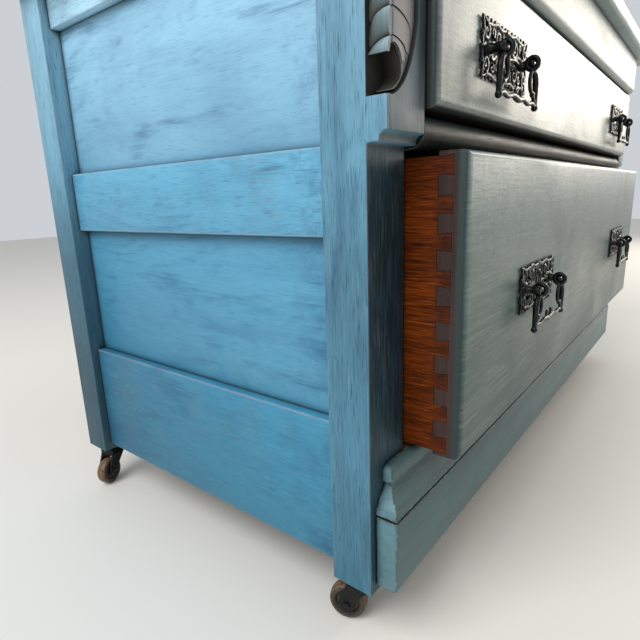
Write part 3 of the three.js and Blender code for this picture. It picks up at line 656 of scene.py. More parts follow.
def husk_finish(name, above, beneath):
    """Carving: its sides pale where they face up and brown where they face down, and darker deeper in
    the recess, as painted light and shade; its front a pinkish grey, lighter where it faces up as
    painted light; painted highlight on arrises and painted shade in grooves.
    """
    g = Graph(name)
    # Sides pale where they face up and brown where they face down: painted light and shade.
    aside = g.mix(g.facing("Z", -0.45, 0.45), beneath, above)
    # Darker deeper in the recess: painted shade.
    inward = g.span(g.axes["Y"], (BLOCK_FRONT + 5) * MM, (FRONT - 1) * MM, 0, 0.75)
    aside = g.mix(inward, aside, tone(40, 40, 32))
    # Front faces lighter where they face up: painted light.
    ahead = g.mix(g.facing("Z", -0.6, 0.3), tone(84, 82, 82), tone(136, 133, 138))
    arris = g.span(g.maths("ABSOLUTE", g.axes["X"]), (-LEFT - 17) * MM, (-LEFT - 8) * MM, 0, 0.6)
    ahead = g.mix(arris, ahead, tone(72, 92, 92))
    base = g.mix(g.facing("Y", -0.45, -0.8), aside, ahead)
    strokes = g.noise((420, 420, 26), 5, 0.7)
    colour = g.coats(
        base,
        (g.span(strokes, 0.5, 0.3, 0, 0.35), tone(56, 60, 64)),
        # Painted highlight on the arrises, and painted shade in the grooves.
        (g.times(g.edges(0.8), 0.25), tone(180, 190, 188)),
        (g.crevices(3.5, 0.8, 0.4), tone(24, 22, 17)))
    return g.finish(colour, g.span(strokes, 0.2, 0.8, 0.42, 0.58), g.bump(strokes, 0.3, 0.4))


# Paint colours by height above the floor.
RAIL_TONES = [
    (FOOT, tone(46, 120, 146)),
    (190, tone(54, 134, 164)),
    (300, tone(86, 152, 182)),
    (400, tone(96, 164, 194)),
    (560, tone(176, 218, 238)),
]
POST_TONES = [
    (FOOT, tone(58, 110, 130)),
    (160, tone(76, 126, 148)),
    (300, tone(72, 116, 136)),
    (400, tone(100, 150, 172)),
    (POST_TOP, tone(138, 182, 202)),
]
PANEL_TONES = [
    (180, tone(76, 142, 168)),
    (330, tone(84, 150, 180)),
    (402, tone(118, 168, 192)),
    (560, tone(148, 194, 218)),
]
# The posts' front faces, darker than their sides: a deeper paint, darkened further as painted shade,
# darkest from mid-height to just under the blocks.
POST_FRONT_SHADED_TONES = [
    (FOOT, tone(30, 66, 72)),
    (160, tone(12, 48, 52)),
    (250, tone(4, 30, 36)),
    (BLOCK_BOTTOM - 60, tone(2, 26, 30)),
    (BLOCK_BOTTOM - 22, tone(20, 40, 42)),
    (BLOCK_BOTTOM - 8, tone(98, 104, 100)),
    (BLOCK_BOTTOM, tone(112, 120, 118)),
    (POST_TOP, tone(100, 112, 112)),
]
BASE_TONES = [(FOOT, tone(68, 96, 98)), (90, tone(72, 102, 102)), (130, tone(56, 82, 82)),
              (160, tone(72, 98, 96))]
ROUND_TONES = [(390, tone(38, 40, 34)), (425, tone(58, 56, 44))]
FRIEZE_TONES = [(530, tone(150, 160, 156)), (590, tone(156, 166, 162))]
TOP_TONES = [(560, tone(150, 168, 166)), (620, tone(160, 176, 172))]
DRAWER_TONES = [
    (LOWER_LOW.z, tone(48, 72, 68)),
    (LOWER_LOW.z + 100, tone(56, 80, 76)),
    (LOWER_HIGH.z - 40, tone(120, 132, 126)),
    (LOWER_HIGH.z, tone(164, 172, 164)),
    (UPPER_LOW.z, tone(128, 134, 126)),
    (UPPER_HIGH.z, tone(124, 136, 132)),
]
GREY = {"smudge": tone(30, 52, 56), "pale": tone(150, 162, 156), "wear": tone(36, 32, 26),
        "rough": 0.42, "pores": 0.4, "streaks": 0.22, "swathe": 0.3}

# Filled screw holes on the drawers' faces: x from the post's left face, and height.
SCREW_HOLES = {"lower_drawer": [(LEFT + 104, 318), (LEFT + 184, 242)],
               "upper_drawer": [(LEFT + 157, 439)]}

FINISH = {
    "post": painted("post_paint", POST_TONES, "z", POST_FRONT_SHADED_TONES, pores=0.7, streaks=0.26,
                    fine=520, blush=0.3, specular=0.3, carved=True),
    "rear": painted("rear_post_paint", POST_TONES, "z", pores=0.6, shift=1.0, streaks=0.2,
                    rearward=tone(8, 52, 62)),
    "rail": painted("rail_paint", RAIL_TONES, "y", pores=0.4, shift=2.0, worn=0.9, blush=0.3,
                    joint=POST_HIGH.y, rim=3.0, wear=tone(168, 130, 116),
                    smudge=tone(12, 74, 110), rearward=tone(24, 90, 116)),
    "panel": painted("panel_paint", PANEL_TONES, "y", pores=0.25, shift=3.0, smudges=0.22,
                     joint=POST_HIGH.y, streaks=0.12, smudge=tone(10, 78, 118),
                     rearward=tone(24, 104, 136)),
    "base": painted("base_paint", BASE_TONES, "x", worn=0.9, rim=3.5, aside=tone(84, 124, 132),
                    **GREY),
    "round": painted("half_round_paint", ROUND_TONES, "x", specular=0.08, **GREY),
    "frieze": painted("frieze_paint", FRIEZE_TONES, "x", **GREY),
    "top": painted("top_paint", TOP_TONES, "x", smudge=tone(70, 94, 100), pores=0.35,
                   pale=tone(196, 204, 198), wear=tone(110, 84, 62), rough=0.4, swathe=0.2),
    # Carving tones: the first for faces turned up, the second for faces turned down, as painted light
    # and shade.
    "husk": husk_finish("carving_paint", tone(120, 148, 154), tone(40, 37, 26)),
    "hollow": husk_finish("carving_ground", tone(52, 49, 38), tone(34, 30, 22)),
    "lower_drawer": drawer_paint("lower_drawer_paint", LOWER_LOW.y, SCREW_HOLES["lower_drawer"]),
    "upper_drawer": drawer_paint("upper_drawer_paint", UPPER_LOW.y, SCREW_HOLES["upper_drawer"]),
    "lower_side": oak("lower_drawer_oak", "y", joint=LOWER_HIGH.y),
    "upper_side": oak("upper_drawer_oak", "y", joint=UPPER_HIGH.y),
    "oak_cross": oak("drawer_oak_cross", "x"),
    "case": bare_wood("case_wood_x", "x"),
    "case_deep": bare_wood("case_wood_y", "y"),
    "case_tall": bare_wood("case_wood_z", "z"),
    "pull": cast_iron("pull_metal", rust=0.1, bright=0.55, rough=0.3),
    "caster": cast_iron("caster_iron", rust=0.35, bright=0.1, rough=0.55, rust_above=40),
    "wheel": wheel_wood("wheel_wood"),
}


def finished(obj, finish, slot, body, *replaced):
    """Gives a piece its material and its body, and hides the CAD nodes that it stands for; the slot is
    not used.
    """
    obj.data.materials.clear()
    obj.data.materials.append(FINISH[finish])
    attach(obj, body)
    if replaced:
        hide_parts(*replaced)


def recoloured(node, finish):
    """Puts a material on a CAD node that stays."""
    obj = NODES[node]
    if not obj.material_slots:
        obj.data.materials.append(None)
    for material_slot in obj.material_slots:
        material_slot.link = "OBJECT"
        material_slot.material = FINISH[finish]


# ---- Sides ----

def side_frames():
    for side in SIDES:
        mirror = side == "right"
        for rail in ("bottom_rail", "middle_rail", "top_rail"):
            low, high = corners("left_" + rail)
            low.y = POST_HIGH.y + GAP
            high.y = REAR_LOW.y - GAP
            made = block(f"{side}_{rail}_board", low, high, 1.3, mirror=mirror)
            finished(made, "rail", "blue_paint", "case", f"{side}_{rail}")
        for panel in ("lower_side_panel", "upper_side_panel"):
            low, high = corners("left_" + panel)
            made = block(f"{side}_{panel}_board", low, high, 0.8, mirror=mirror)
            finished(made, "panel", "blue_paint", "case", f"{side}_{panel}")
        made = block(f"{side}_rear_leg", REAR_LOW, REAR_HIGH, 1.4, mirror=mirror)
        finished(made, "rear", "blue_paint", "case", f"{side}_rear_post")


def recess_outline(grow=0.0):
    """The carved recess seen from the front: from its ledge round the corner to its inner edge."""
    foot = Vector((LEFT + 7 - grow, RECESS_LEDGE + grow))
    bend = Vector((LEFT + 30 - grow, RECESS_LEDGE + 9 + grow))
    inner = Vector((LEFT + RECESS_WIDTH - grow, RECESS_LEDGE + 47))
    steps = 14
    places = [i / steps for i in range(steps + 1)]
    return [tuple((1 - t) ** 2 * foot + 2 * t * (1 - t) * bend + t ** 2 * inner) for t in places]


def front_leg(side):
    mirror = side == "right"
    cove = []
    for t in (i / 8 for i in range(9)):
        y = BLOCK_FRONT + (FRONT - COVE_FORWARD - BLOCK_FRONT) * t * (2 - t)
        cove.append((y, BLOCK_BOTTOM - t ** 2 * COVE_DROP))
    outline = [(POST_HIGH.y, FOOT), (POST_HIGH.y, POST_TOP), (BLOCK_FRONT, POST_TOP), *cove,
               (FRONT, BLOCK_BOTTOM - COVE_DROP), (FRONT, FOOT)]
    leg = Solid().prism("x", outline, LEFT, INNER).make("leg", mirror=mirror)
    recess = [(LEFT - 5, RECESS_LEDGE), *recess_outline(), (LEFT + RECESS_WIDTH, RECESS_SOFFIT),
              (LEFT - 5, RECESS_SOFFIT)]
    cutter = Solid().prism("y", recess, BLOCK_FRONT - 5, FRONT).make("recess", mirror=mirror)
    without(leg, cutter)
    leg.name = f"{side}_front_leg"
    eased(leg, 1.1, 3, 40)
    finished(leg, "post", "blue_paint", "case", f"{side}_front_post")


# Husks overlap up the corner: a rounded side towards the post's left face, a groove at the arris
# and a flatter face in front, both on a ground that ends round a hollow over the ledge.
HUSK_PITCH = 16.0
HUSK_PEAK = RECESS_LEDGE + 33
HUSK_FOOT = RECESS_LEDGE + 23.4
ARRIS_X = 6.8
GROUND_Y = BLOCK_FRONT + 2.6
SIDE_DROP = 9.0


def husk_reach(n):
    """How far across the front a husk's upper edge runs, and how much it drops."""
    reach = (26.5, 33.5, 36.0)[min(n, 2)]
    return reach, (7.0, 12.0, 14.0)[min(n, 2)]


def face_edge(n, x):
    """Height of a husk's upper edge on the front, x from the post's left face."""
    reach, drop = husk_reach(n)
    share = min(max((x - ARRIS_X) / (reach - ARRIS_X), 0), 1)
    return HUSK_PEAK + HUSK_PITCH * n + 1.0 - drop * (1 - math.sqrt(1 - share ** 2))


def hollow_edge():
    """The top of the hollow on the front, from the arris round to the ledge."""
    places = [(3.6, 23.4), (5.2, 26.4), (8.5, 28.9), (12, 29.2), (17.0, 26.6), (20.6, 20.5),
              (21.2, 14), (19.4, 10.4), (15, 6.6), (9.5, 3.0)]
    return curve_through([(LEFT + x, RECESS_LEDGE + z, 0) for x, z in places], 4)


def carved_ground(side):
    """The flat behind the husks, between the hollow and the recess's edge."""
    mirror = side == "right"
    inner = [(p.x, p.y) for p in hollow_edge()]
    outer = [(x, z) for x, z in recess_outline(0.5) if x > inner[-1][0] + 1]
    outline = inner + outer
    top = RECESS_SOFFIT - 0.3
    outline += [(LEFT + RECESS_WIDTH - 0.5, top), (LEFT + 7.6, top), (LEFT + 7.6, HUSK_FOOT + 7),
                (LEFT + 5, HUSK_FOOT + 5)]
    ground = Solid().prism("y", outline, GROUND_Y, FRONT - 0.1)
    obj = eased(ground.make(f"{side}_carved_ground", 40, mirror), 0.25, 2, 50, 40)
    finished(obj, "hollow", "grey_paint", "case")


def face_husk(n):
    """A husk's face: rings across the front, each rounded over at its top."""
    reach = husk_reach(n)[0]
    made = Solid()
    rings = []
    steps = 26
    hollow = hollow_edge()
    for i in range(steps + 1):
        share = i / steps
        x = ARRIS_X + 0.3 + (reach - 0.4 - ARRIS_X) * share
        top = face_edge(n, x) - 0.6
        if n:
            bottom = face_edge(n - 1, x) - 0.2
        else:
            under = [p.y for p in hollow if abs(p.x - LEFT - x) < 1.2 and p.y > HUSK_FOOT - 8]
            bottom = max(under) + 0.4 if under else HUSK_FOOT - 4.5 * (share - 0.7) / 0.3
        rise = 1.15 * (1 - share ** 3) * min(1.0, 0.25 + share * 9)
        tall = max(top - bottom, 0.6)
        ring = []
        for k in range(9):
            down = k / 8
            bulge = math.sin(math.pi * min(0.5, 0.06 + down * 1.5)) ** 0.6
            z = min(top - tall * down, RECESS_SOFFIT - 0.2)
            ring.append((LEFT + x, GROUND_Y + 0.15 - rise * bulge, z))
        ring.append((LEFT + x, GROUND_Y + 0.8, ring[-1][2]))
        ring.append((LEFT + x, GROUND_Y + 0.8, ring[0][2]))
        rings.append(ring)
    return made.rings(rings)


def side_husk(n):
    """A husk's side: rings from the back of the recess to the arris, bulging sideways."""
    made = Solid()
    rings = []
    peak = HUSK_PEAK + HUSK_PITCH * n
    back = FRONT - 0.1
    front = GROUND_Y - 0.9
    steps = 16
    for i in range(steps + 1):
        share = i / steps
        y = back + (front - back) * math.sin(math.pi / 2 * share)
        depth = (y - front) / (back - front)
        drop = SIDE_DROP * (1 - math.sqrt(max(0.0, 1 - (depth * 0.97) ** 2)))
        top = peak - drop
        low = peak - HUSK_PITCH - drop - 1.0
        ring = []
        for k in range(11):
            down = k / 10
            if n:
                z = top - (top - low) * (1 - math.cos(math.pi * down)) / 2
                bulge = 2.3 * math.sin(math.pi * down) ** 0.8
            else:
                # The lowest husk swells down to a flat underside over the hollow.
                z = max(top - max(top - HUSK_FOOT, 0.5) * down, HUSK_FOOT)
                bulge = 4.3 * math.sin(math.pi / 2 * down ** 0.8)
            ring.append((LEFT + ARRIS_X - bulge, y, min(z, RECESS_SOFFIT - 0.2)))
        inner = ARRIS_X + 1 if n else 5.0
        ring.append((LEFT + inner, y, ring[-1][2]))
        ring.append((LEFT + ARRIS_X + 1, y, ring[0][2]))
        rings.append(ring)
    return made.rings(rings)


def husks(side):
    mirror = side == "right"
    count = int((RECESS_SOFFIT - HUSK_PEAK) / HUSK_PITCH) + 2
    for n in range(count):
        for part, shape in (("face", face_husk(n)), ("side", side_husk(n))):
            obj = shape.make(f"{side}_husk_{n}_{part}", 50, mirror)
            finished(obj, "husk", "grey_paint", "case")


# ---- Front members ----

def base():
    low, high = FASCIA_LOW, FASCIA_HIGH
    chamfer = 3
    outline = [(high.y, low.z), (high.y, high.z), (low.y, high.z), (low.y, low.z + chamfer),
               (low.y + chamfer, low.z)]
    made = Solid().prism("x", outline, low.x, high.x).make("base_fascia_board")
    finished(eased(made, 0.9), "base", "grey_paint", "case", "base_fascia")

    # Setback from the fascia's face and height: fillet, hollow over a round, quirk and bead.
    ogee = curve_through([(0.4, 0, 0), (0.8, 3, 0), (2, 6.5, 0), (5, 10.5, 0), (9, 15.5, 0),
                          (12.2, 20, 0), (13, 24.3, 0)], 4)
    bead = arc((16.0, 28.0), 6.5, 180, 90, 8, 1.45)
    profile = [(p.x, p.y) for p in ogee] + [(9.8, 25.0)] + bead
    rings = []
    for setback, height in profile:
        x0 = FASCIA_LOW.x + setback
        x1 = FASCIA_HIGH.x - setback
        y0 = FASCIA_LOW.y + setback
        z = min(MOULDING_LOW.z + height, MOULDING_HIGH.z)
        rings.append([(x0, y0, z), (x1, y0, z), (x1, MOULDING_HIGH.y, z), (x0, MOULDING_HIGH.y, z)])
    made = Solid().rings(rings).make("base_moulding_run", 28)
    finished(made, "base", "grey_paint", "case", "base_moulding")


def cross_rails():
    low, high = ROUND_LOW, ROUND_HIGH
    x0, x1 = INNER + GAP, -INNER - GAP
    flat = 3
    nose = arc((FRONT - flat, (low.z + high.z) / 2), FRONT - flat - low.y, 90, 270, 22,
               (high.z - low.z) / 2 / (FRONT - flat - low.y))
    outline = [(high.y, low.z), (high.y, high.z), *nose]
    made = Solid().prism("x", outline, x0, x1).make("half_round_moulding", 40)
    finished(made, "round", "grey_paint", "case", "half_round_rail")

    low, high = FRIEZE_LOW, FRIEZE_HIGH
    edge = 8
    curve = arc((low.y + edge, low.z + edge), edge, 180, 270, 10)
    outline = [(high.y, low.z), (high.y, high.z), (low.y, high.z), *curve]
    made = Solid().prism("x", outline, x0, x1).make("frieze_board", 40)
    finished(made, "frieze", "grey_paint", "case", "frieze_rail")


def top_board():
    """A board with its edges rounded over above and below."""
    low, high = TOP_LOW, TOP_HIGH
    bends = round_over(6, 9)

    def ring(inset, z):
        return [(low.x + inset, low.y + inset, z), (high.x - inset, low.y + inset, z),
                (high.x - inset, high.y - inset, z), (low.x + inset, high.y - inset, z)]
    rings = [ring(inset, low.z + depth) for inset, depth in bends]
    rings += [ring(inset, high.z - depth) for inset, depth in reversed(bends)]
    made = Solid().rings(rings).make("top_board_rounded", 30)
    finished(made, "top", "grey_paint", "case", "top_board")


def back_boards():
    """The back: upright boards with a V-groove at each joint."""
    low, high = corners("back_panel")
    boards = 7
    groove = 1.6
    width = (high.x - low.x) / boards
    outline = [(low.x, low.y), (high.x, low.y), (high.x, high.y)]
    for i in range(boards - 1, 0, -1):
        x = low.x + width * i
        outline += [(x + groove, high.y), (x, high.y - groove), (x - groove, high.y)]
    outline.append((low.x, high.y))
    made = Solid().prism("z", outline, low.z, high.z).make("back_boards", 30)
    finished(made, "case_tall", "case_wood", "case", "back_panel")


# ---- Drawers ----

DRAWER_EDGE = 6
TAIL = {"length": 10.9, "height": 13.1, "flare": 1.2, "pitch": 25.4, "side": 12}


def tail_sockets(name, low, high, shoulder):
    """Cutters for the dovetails at both ends of a drawer front."""
    side_low, side_high = corners(f"{name}_left_side")
    z0, z1 = side_low.z, side_high.z
    height, flare = TAIL["height"], TAIL["flare"]
    count = round((z1 - z0 - height) / TAIL["pitch"]) + 1
    pitch = (z1 - z0 - height) / (count - 1)
    root = shoulder + GAP
    tip = root - TAIL["length"] - GAP
    cutters = Solid()
    for i in range(count):
        bottom = z0 + i * pitch - GAP
        top = bottom + height + 2 * GAP
        outline = [(root + 1, bottom + flare), (root + 1, top - flare), (root, top - flare),
                   (tip, top), (tip, bottom), (root, bottom + flare)]
        reach = TAIL["side"] + GAP
        cutters.prism("x", outline, low.x - 1, low.x + reach)
        cutters.prism("x", outline, high.x - reach, high.x + 1)
    return cutters.make("sockets")


def drawer_front(name, low, high):
    bends = round_over(DRAWER_EDGE, 8)

    def ring(inset, y):
        return [(low.x + inset, y, low.z + inset), (high.x - inset, y, low.z + inset),
                (high.x - inset, y, high.z - inset), (low.x + inset, y, high.z - inset)]
    rings = [ring(0, high.y)] + [ring(inset, low.y + depth) for inset, depth in reversed(bends)]
    front = Solid().rings(rings).make("front")
    without(front, tail_sockets(name, low, high, high.y))
    shade(front.data, 30)
    front.name = f"{name}_front_board"
    finished(front, name, "grey_paint", name, f"{name}_front")


def spiral(centre, radius, turns, start, way=1, steps=14, shrink=0.22):
    """A scroll that winds inwards, in the plane of a plate."""
    points = []
    total = int(steps * turns)
    for i in range(total + 1):
        share = i / total
        r = radius * (1 - (1 - shrink) * share)
        angle = math.radians(start) + way * 2 * math.pi * turns * share
        points.append((centre[0] + r * math.cos(angle), centre[1] + r * math.sin(angle)))
    return points


# The plate's border, half its width and height, and the scrolls in each quarter of it: centre,
# radius, turns, where the scroll starts in degrees, and which way it winds.
PLATE_HALF = (52.8, 19.6)
SCROLLS = (((20, 10.2), 7.6, 1.3, 205, 1), ((46, 11.0), 6.2, 1.2, 100, 1),
           ((32.5, 13.0), 3.6, 1.0, 250, -1))


def plate_tracery(centre, y):
    """A pierced plate: cusped border with teeth, scrolls in each quarter, and a cartouche."""
    made = Solid()
    half_w, half_h = PLATE_HALF

    def bar(points, radii, closed=False, lift=0.0):
        route = [(centre.x + u, y - 1.4 - lift, centre.z + v) for u, v in points]
        made.tube(route, radii, 7, 0.7, closed)

    def bead(u, v, radius, rise=1.3, squeeze=(1, 0.7, 1), steps=8):
        made.ball((centre.x + u, y - rise, centre.z + v), radius, squeeze, steps)

    border = []
    for su, sv in ((1, 1), (-1, 1), (-1, -1), (1, -1)):
        # Each corner is a horn between two cusps; the sides between corners are wavy.
        corner = [(half_w - 9, half_h - 2.2), (half_w - 4.5, half_h + 0.2), (half_w + 0.6, half_h + 1.2),
                  (half_w - 1.2, half_h - 4.2), (half_w - 2.6, half_h - 8)]
        if su * sv > 0:
            corner.reverse()
        border += [(su * u, sv * v) for u, v in corner]
        if su * sv > 0:
            border += [(su * u, sv * (half_h - 0.4 + (1.2 if i % 2 else -1.2)))
                       for i, u in enumerate(range(33, -34, -11))]
        else:
            border += [(su * (half_w + 0.8), sv * 6), (su * (half_w - 1), 0),
                       (su * (half_w + 0.8), -sv * 6)]
    bar(border, 1.5, True)
    for sv in (-1, 1):
        for u in range(-44, 45, 8):
            bead(u, sv * (half_h + 1.2), 1.6)
    for su in (-1, 1):
        for v in (-10, 0, 10):
            bead(su * (half_w + 1.3), v, 1.6)
    for su in (-1, 1):
        for sv in (-1, 1):
            for (u, v), radius, turns, start, way in SCROLLS:
                route = [(su * a, sv * b) for a, b in spiral((u, v), radius, turns, start, way)]
                radii = [1.85 - 0.8 * i / len(route) for i in range(len(route))]
                bar(route, radii, lift=0.3)
                bead(su * u, sv * v, radius * 0.22, 1.8)
            bar([(su * 10, sv * 16), (su * 11, sv * 9), (su * 6.4, sv * 8)], 1.5, lift=0.2)
            bar([(su * 24, sv * 2.4), (su * 29, sv * 6), (su * 34, sv * 5)], 1.6, lift=0.2)
        bar([(su * 6.5, 0), (su * 14, 1.2), (su * 24, 2.4), (su * 34, 0)], 1.7, lift=0.2)
        bar([(su * 43, 0), (su * 48, 2.6), (su * 52.5, 0)], 1.5, lift=0.2)
        made.lathe([(0.2, 0), (7.2, 0), (7.2, -1.6), (5.8, -2.6), (4.6, -3.2), (0.2, -3.2)],
                   (centre.x + su * 40, y, centre.z), "y", 24)
    bar([(7.0 * math.cos(a), 12.5 * math.sin(a)) for a in turn_round(22)], 1.6, True, 0.5)
    bead(0, 0, 3.2, 1.6, (1, 0.6, 1.9), 12)
    for v in (-19.5, 19.5):
        bead(0, v, 2.4, 1.5, (1.5, 0.6, 1), 10)
    return made


PIN_SPACING = 80
PIN_REACH = 13.5
BAIL_FLARE = 13


def pull(name, side):
    """A pierced plate with two cast arms, and the ornate bail that swings on their pins."""
    node = f"{name}_{side}"
    low, high = corners(f"{node}_plate")
    bail_low, bail_high = corners(f"{node}_bail")
    centre = (low + high) / 2
    y = high.y
    made = plate_tracery(centre, y)
    pin_y = y - PIN_REACH
    for s in (-1, 1):
        x = centre.x + s * PIN_SPACING / 2
        neck = [(0.3, -0.9), (5.2, -0.9), (4.2, -3.6), (3.3, -6.3), (3.5, -9.45), (4.3, -12.15),
                (3.8, -14.4), (2.2, -15.3), (0.3, -15.48)]
        made.lathe(neck, (x, y, centre.z), "y", 20)
        pin = [(x, pin_y, centre.z), (x - s * 9.2, pin_y, centre.z)]
        made.tube(pin, 2.0, 14)
        made.ball((x - s * 9.0, pin_y, centre.z), 2.3, (0.5, 1, 1), 12)
    plate = made.make(f"{node}_plate_cast", 50)
    finished(plate, "pull", "pull_metal", name, f"{node}_plate")

    swing = Solid()
    bottom = bail_low.z + 2.6
    eye_x = PIN_SPACING / 2 - 3.6 - GAP - 2
    for s in (-1, 1):
        ex = centre.x + s * eye_x
        ring = [(ex, pin_y + 4.8 * math.cos(a), centre.z + 4.8 * math.sin(a))
                for a in turn_round(24)]
        swing.tube(ring, 2.3, 10, 1.0, True)

        def at(out, z):
            return (ex + s * out, pin_y, z)
        leg = curve_through([at(0, centre.z - 5), at(7, centre.z - 6.5), at(11.5, centre.z - 12),
                             at(12.5, centre.z - 21), at(BAIL_FLARE, bottom + 1)], 6)
        radii = [2.0 + 0.7 * math.sin(math.pi * i / len(leg)) for i in range(len(leg))]
        swing.tube(leg, radii, 8)
        # An inner strand leaves the eye and sweeps down to a leaf against the leg.
        strand = curve_through([at(-1, centre.z - 5), at(-5, centre.z - 13), at(-3, centre.z - 21),
                                at(4, centre.z - 25), at(10.5, bottom + 4)], 6)
        swing.tube(strand, 1.7, 8)
        swing.ball(at(BAIL_FLARE, bottom), 3.0, (1, 1, 1.05), 12)
        swing.ball(at(4, centre.z - 24.6), 2.8, (1.3, 0.8, 1), 10)
        swing.ball(at(12, centre.z - 15), 2.9, (1, 1, 1.5), 10)
    places = [(1, 0.6), (0.8, 2.8), (0.55, 1.2), (0.28, 3.4), (0, 1.6)]
    half = eye_x + BAIL_FLARE
    route = [(centre.x - half * u, pin_y, bottom + v) for u, v in places]
    route += [(centre.x + half * u, pin_y, bottom + v) for u, v in reversed(places[:-1])]
    bar = curve_through(route, 6)
    radii = [1.9 + 0.7 * math.exp(-((p.x - centre.x) / 9) ** 2) for p in bar]
    swing.tube(bar, radii, 8)
    for s in (-1, 1):
        for u, v, r in ((7, 2.4, 2.5), (14, 3.2, 2.1), (25, 1.6, 2.2), (35, 2.6, 2.0)):
            swing.ball((centre.x + s * u, pin_y, bottom + v), r, (1.3, 0.9, 1), 10)
        leaf = [(centre.x + s * a, pin_y, bottom + 2 + b)
                for a, b in spiral((6, 5.5), 3.6, 1.2, 250, 1)]
        swing.tube(leaf, 1.2, 7)
    swing.ball((centre.x, pin_y, bottom + 2), 3.1, (1.1, 0.8, 0.9), 12)
    bail = swing.make(f"{node}_bail_cast", 50)
    finished(bail, "pull", "pull_metal", f"{node}_bail", f"{node}_bail")


def drawers():
    drawer_front("lower_drawer", LOWER_LOW, LOWER_HIGH)
    drawer_front("upper_drawer", UPPER_LOW, UPPER_HIGH)
    for name in DRAWERS:
        for side in SIDES:
            recoloured(f"{name}_{side}_side", name.split("_")[0] + "_side")
            pull(name, side)
        recoloured(f"{name}_back", "oak_cross")
        recoloured(f"{name}_bottom", "oak_cross")


# ---- Casters ----

WHEEL_HALF = 6.5     # half a wheel's width
ARM = {"gap": 0.8, "thickness": 2.5, "neck": 7.5, "eye": 7.4}
CROWN_NOSE = 17.0    # how far the crown reaches from the stem
CROWN_CLEAR = 3.0    # between the crown and the wheel
CROWN_TOP = -3.5     # below the foot of the post
# Half of a wheel's outline: hub, recess with a raised ring, shoulder and crowned tread.
WHEEL_SIDE = [(2.7, 4.0), (5.0, 4.0), (5.4, 4.6), (7.6, 4.6), (8.0, 3.8), (10.2, 3.8), (11.0, 5.8),
              (12.0, 6.4), (13.8, 6.5), (15.3, 5.8), (16.3, 4.4), (16.85, 2.2), (17.0, 0)]


def roller():
    """A turned wheel about the y axis."""
    profile = [(r, -h) for r, h in WHEEL_SIDE] + [(r, h) for r, h in reversed(WHEEL_SIDE[:-1])]
    return Solid().loop([[(r * math.cos(a), h, r * math.sin(a)) for r, h in profile]
                         for a in turn_round(44)])


def fork(reach, axle, wheel_top):
    """A stem with its washer, a deep crown and two arms; heights from the post's foot."""
    made = Solid()
    top = CROWN_TOP
    made.lathe([(0.3, top - 3.4), (10.5, top - 3.4), (12, top - 2.2), (12, top - 0.8), (11, top),
                (3.5, top), (3.5, 22), (2.6, 23.8), (0.3, 24)], (0, 0, 0), "z", 32)
    neck, eye = ARM["neck"], ARM["eye"]
    left = curve_through([(-neck, 0, top - 1.5), (-neck + 2, 0, top - 8),
                          (reach - eye - 1.5, 0, axle + 6), (reach - eye, 0, axle)], 5)
    below = [(u, 0, v) for u, v in arc((reach, axle), eye, 180, 360, 12)]
    right = curve_through([(reach + eye, 0, axle), (reach + eye - 2, 0, axle + 9),
                           (CROWN_NOSE, 0, top - 7), (CROWN_NOSE, 0, top - 1.5)], 5)
    outline = [(p[0], p[2]) for p in list(left) + below[1:-1] + list(right)]
    inner = WHEEL_HALF + ARM["gap"]
    outer = inner + ARM["thickness"]
    made.prism("y", outline, -outer, -inner)
    made.prism("y", outline, inner, outer)
    crown = [(-neck, -outer), (CROWN_NOSE, -outer), (CROWN_NOSE, outer), (-neck, outer)]
    return made.prism("z", crown, wheel_top + CROWN_CLEAR, top - 1.2)


def caster(name):
    wheel_low, wheel_high = corners(f"{name}_caster_wheel")
    socket_low, socket_high = corners(f"{name}_caster_socket")
    hub = (wheel_low + wheel_high) / 2
    stem = (socket_low + socket_high) / 2
    trail = Vector((hub.x - stem.x, hub.y - stem.y, 0))
    turn = Matrix.Rotation(math.atan2(trail.y, trail.x), 4, "Z")

    def placed(shape, centre):
        shape.points = [Vector(centre) + turn @ p for p in shape.points]
        return shape

    made = placed(roller(), hub).make(f"{name}_caster_roller", 40)
    finished(made, "wheel", "wheel_wood", f"{name}_caster_wheel", f"{name}_caster_wheel")
    yoke = fork(trail.length, hub.z - FOOT, wheel_high.z - FOOT)
    made = placed(yoke, (stem.x, stem.y, FOOT)).make(f"{name}_caster_yoke", 40)
    eased(made, 0.5, 2, 50, 40)
    finished(made, "caster", "caster_iron", f"{name}_caster_swivel", f"{name}_caster_fork")
    recoloured(f"{name}_caster_socket", "caster")
    recoloured(f"{name}_caster_axle", "caster")


# ---- Building ----

side_frames()
for each_side in SIDES:
    front_leg(each_side)
    carved_ground(each_side)
    husks(each_side)
base()
cross_rails()
top_board()
back_boards()
drawers()
for each_corner in CORNERS:
    caster(each_corner)
recoloured("front_bearer", "case")
recoloured("back_rail", "case")
for each_side in SIDES:
    for each_runner in ("lower_runner", "upper_runner"):
        recoloured(f"{each_side}_{each_runner}", "case_deep")


# ---- Floor, light and camera ----

def floor():
    mesh = bpy.data.meshes.new("floor")
    far = 6.0
    mesh.from_pydata([(-far, -far, 0), (far, -far, 0), (far, far, 0), (-far, far, 0)], [],
                     [[0, 1, 2, 3]])
    obj = link("floor", mesh)
    material = bpy.data.materials.new("pale_floor")
    material.use_nodes = True
    shader = material.node_tree.nodes["Principled BSDF"]
    shader.inputs["Base Color"].default_value = tone(218, 214, 206)
    shader.inputs["Roughness"].default_value = 0.6
    mesh.materials.append(material)


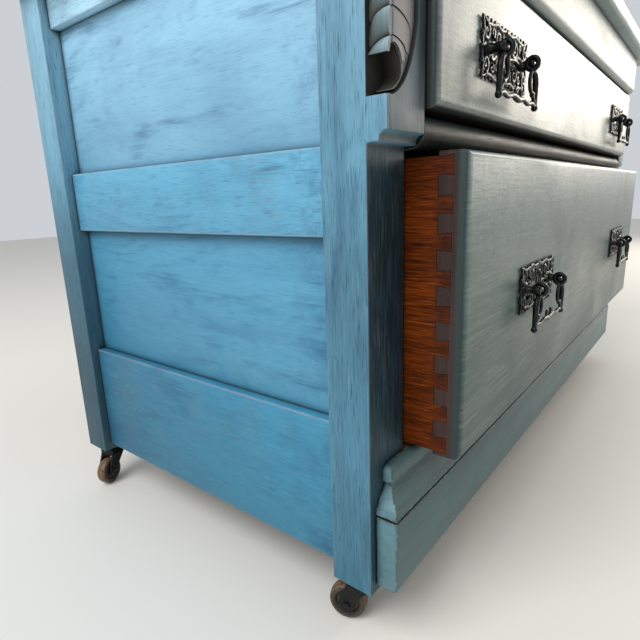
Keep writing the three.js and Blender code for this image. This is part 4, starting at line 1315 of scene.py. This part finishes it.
def softbox(name, place, aim, size, power, colour):
    lamp = bpy.data.lights.new(name, "AREA")
    lamp.shape = "DISK"
    lamp.size = size
    lamp.energy = power
    lamp.color = colour
    obj = bpy.data.objects.new(name, lamp)
    bpy.context.scene.collection.objects.link(obj)
    obj.location = place
    obj.rotation_euler = (Vector(aim) - Vector(place)).to_track_quat("-Z", "Y").to_euler()


def lights():
    softbox("window_left", (-2.2, 0.1, 2.3), (-0.45, 0, 0.35), 2.0, 70, (0.96, 0.98, 1.0))
    softbox("window_right", (2.95, -1.15, 1.3), (0.1, -0.25, 0.3), 1.5, 52, (1.0, 0.92, 0.8))
    world = bpy.data.worlds.new("room")
    world.use_nodes = True
    background = world.node_tree.nodes["Background"]
    background.inputs["Color"].default_value = (0.86, 0.9, 0.95, 1)
    background.inputs["Strength"].default_value = 0.7
    bpy.context.scene.world = world
    bpy.context.scene.view_settings.view_transform = "Standard"


# The camera from the front left corner of the case in millimetres, and its turn in degrees.
CAMERA_ASIDE, CAMERA_AHEAD, CAMERA_HEIGHT = 279.8, 181.8, 365
CAMERA_YAW, CAMERA_PITCH, CAMERA_ROLL = 51.24, 13.97, -2.02
LENS = 27.84


def camera():
    """Close to the front left corner, above the middle, turned towards the front."""
    lens = bpy.data.cameras.new("camera")
    lens.sensor_width = 36
    lens.lens = LENS
    lens.clip_start = 0.01
    obj = bpy.data.objects.new("camera", lens)
    bpy.context.scene.collection.objects.link(obj)
    yaw, pitch, roll = (math.radians(a) for a in (CAMERA_YAW, CAMERA_PITCH, CAMERA_ROLL))
    forward = Vector((math.sin(yaw) * math.cos(pitch), math.cos(yaw) * math.cos(pitch),
                      -math.sin(pitch)))
    level = Vector((math.cos(yaw), -math.sin(yaw), 0))
    upright = level.cross(forward)
    right = math.cos(roll) * level + math.sin(roll) * upright
    up = -math.sin(roll) * level + math.cos(roll) * upright
    place = Vector((LEFT - CAMERA_ASIDE, FRONT - CAMERA_AHEAD, CAMERA_HEIGHT)) * MM
    turned = Matrix((right, up, -forward)).transposed().to_4x4()
    obj.matrix_world = Matrix.Translation(place) @ turned
    bpy.context.scene.camera = obj


floor()
lights()
camera()
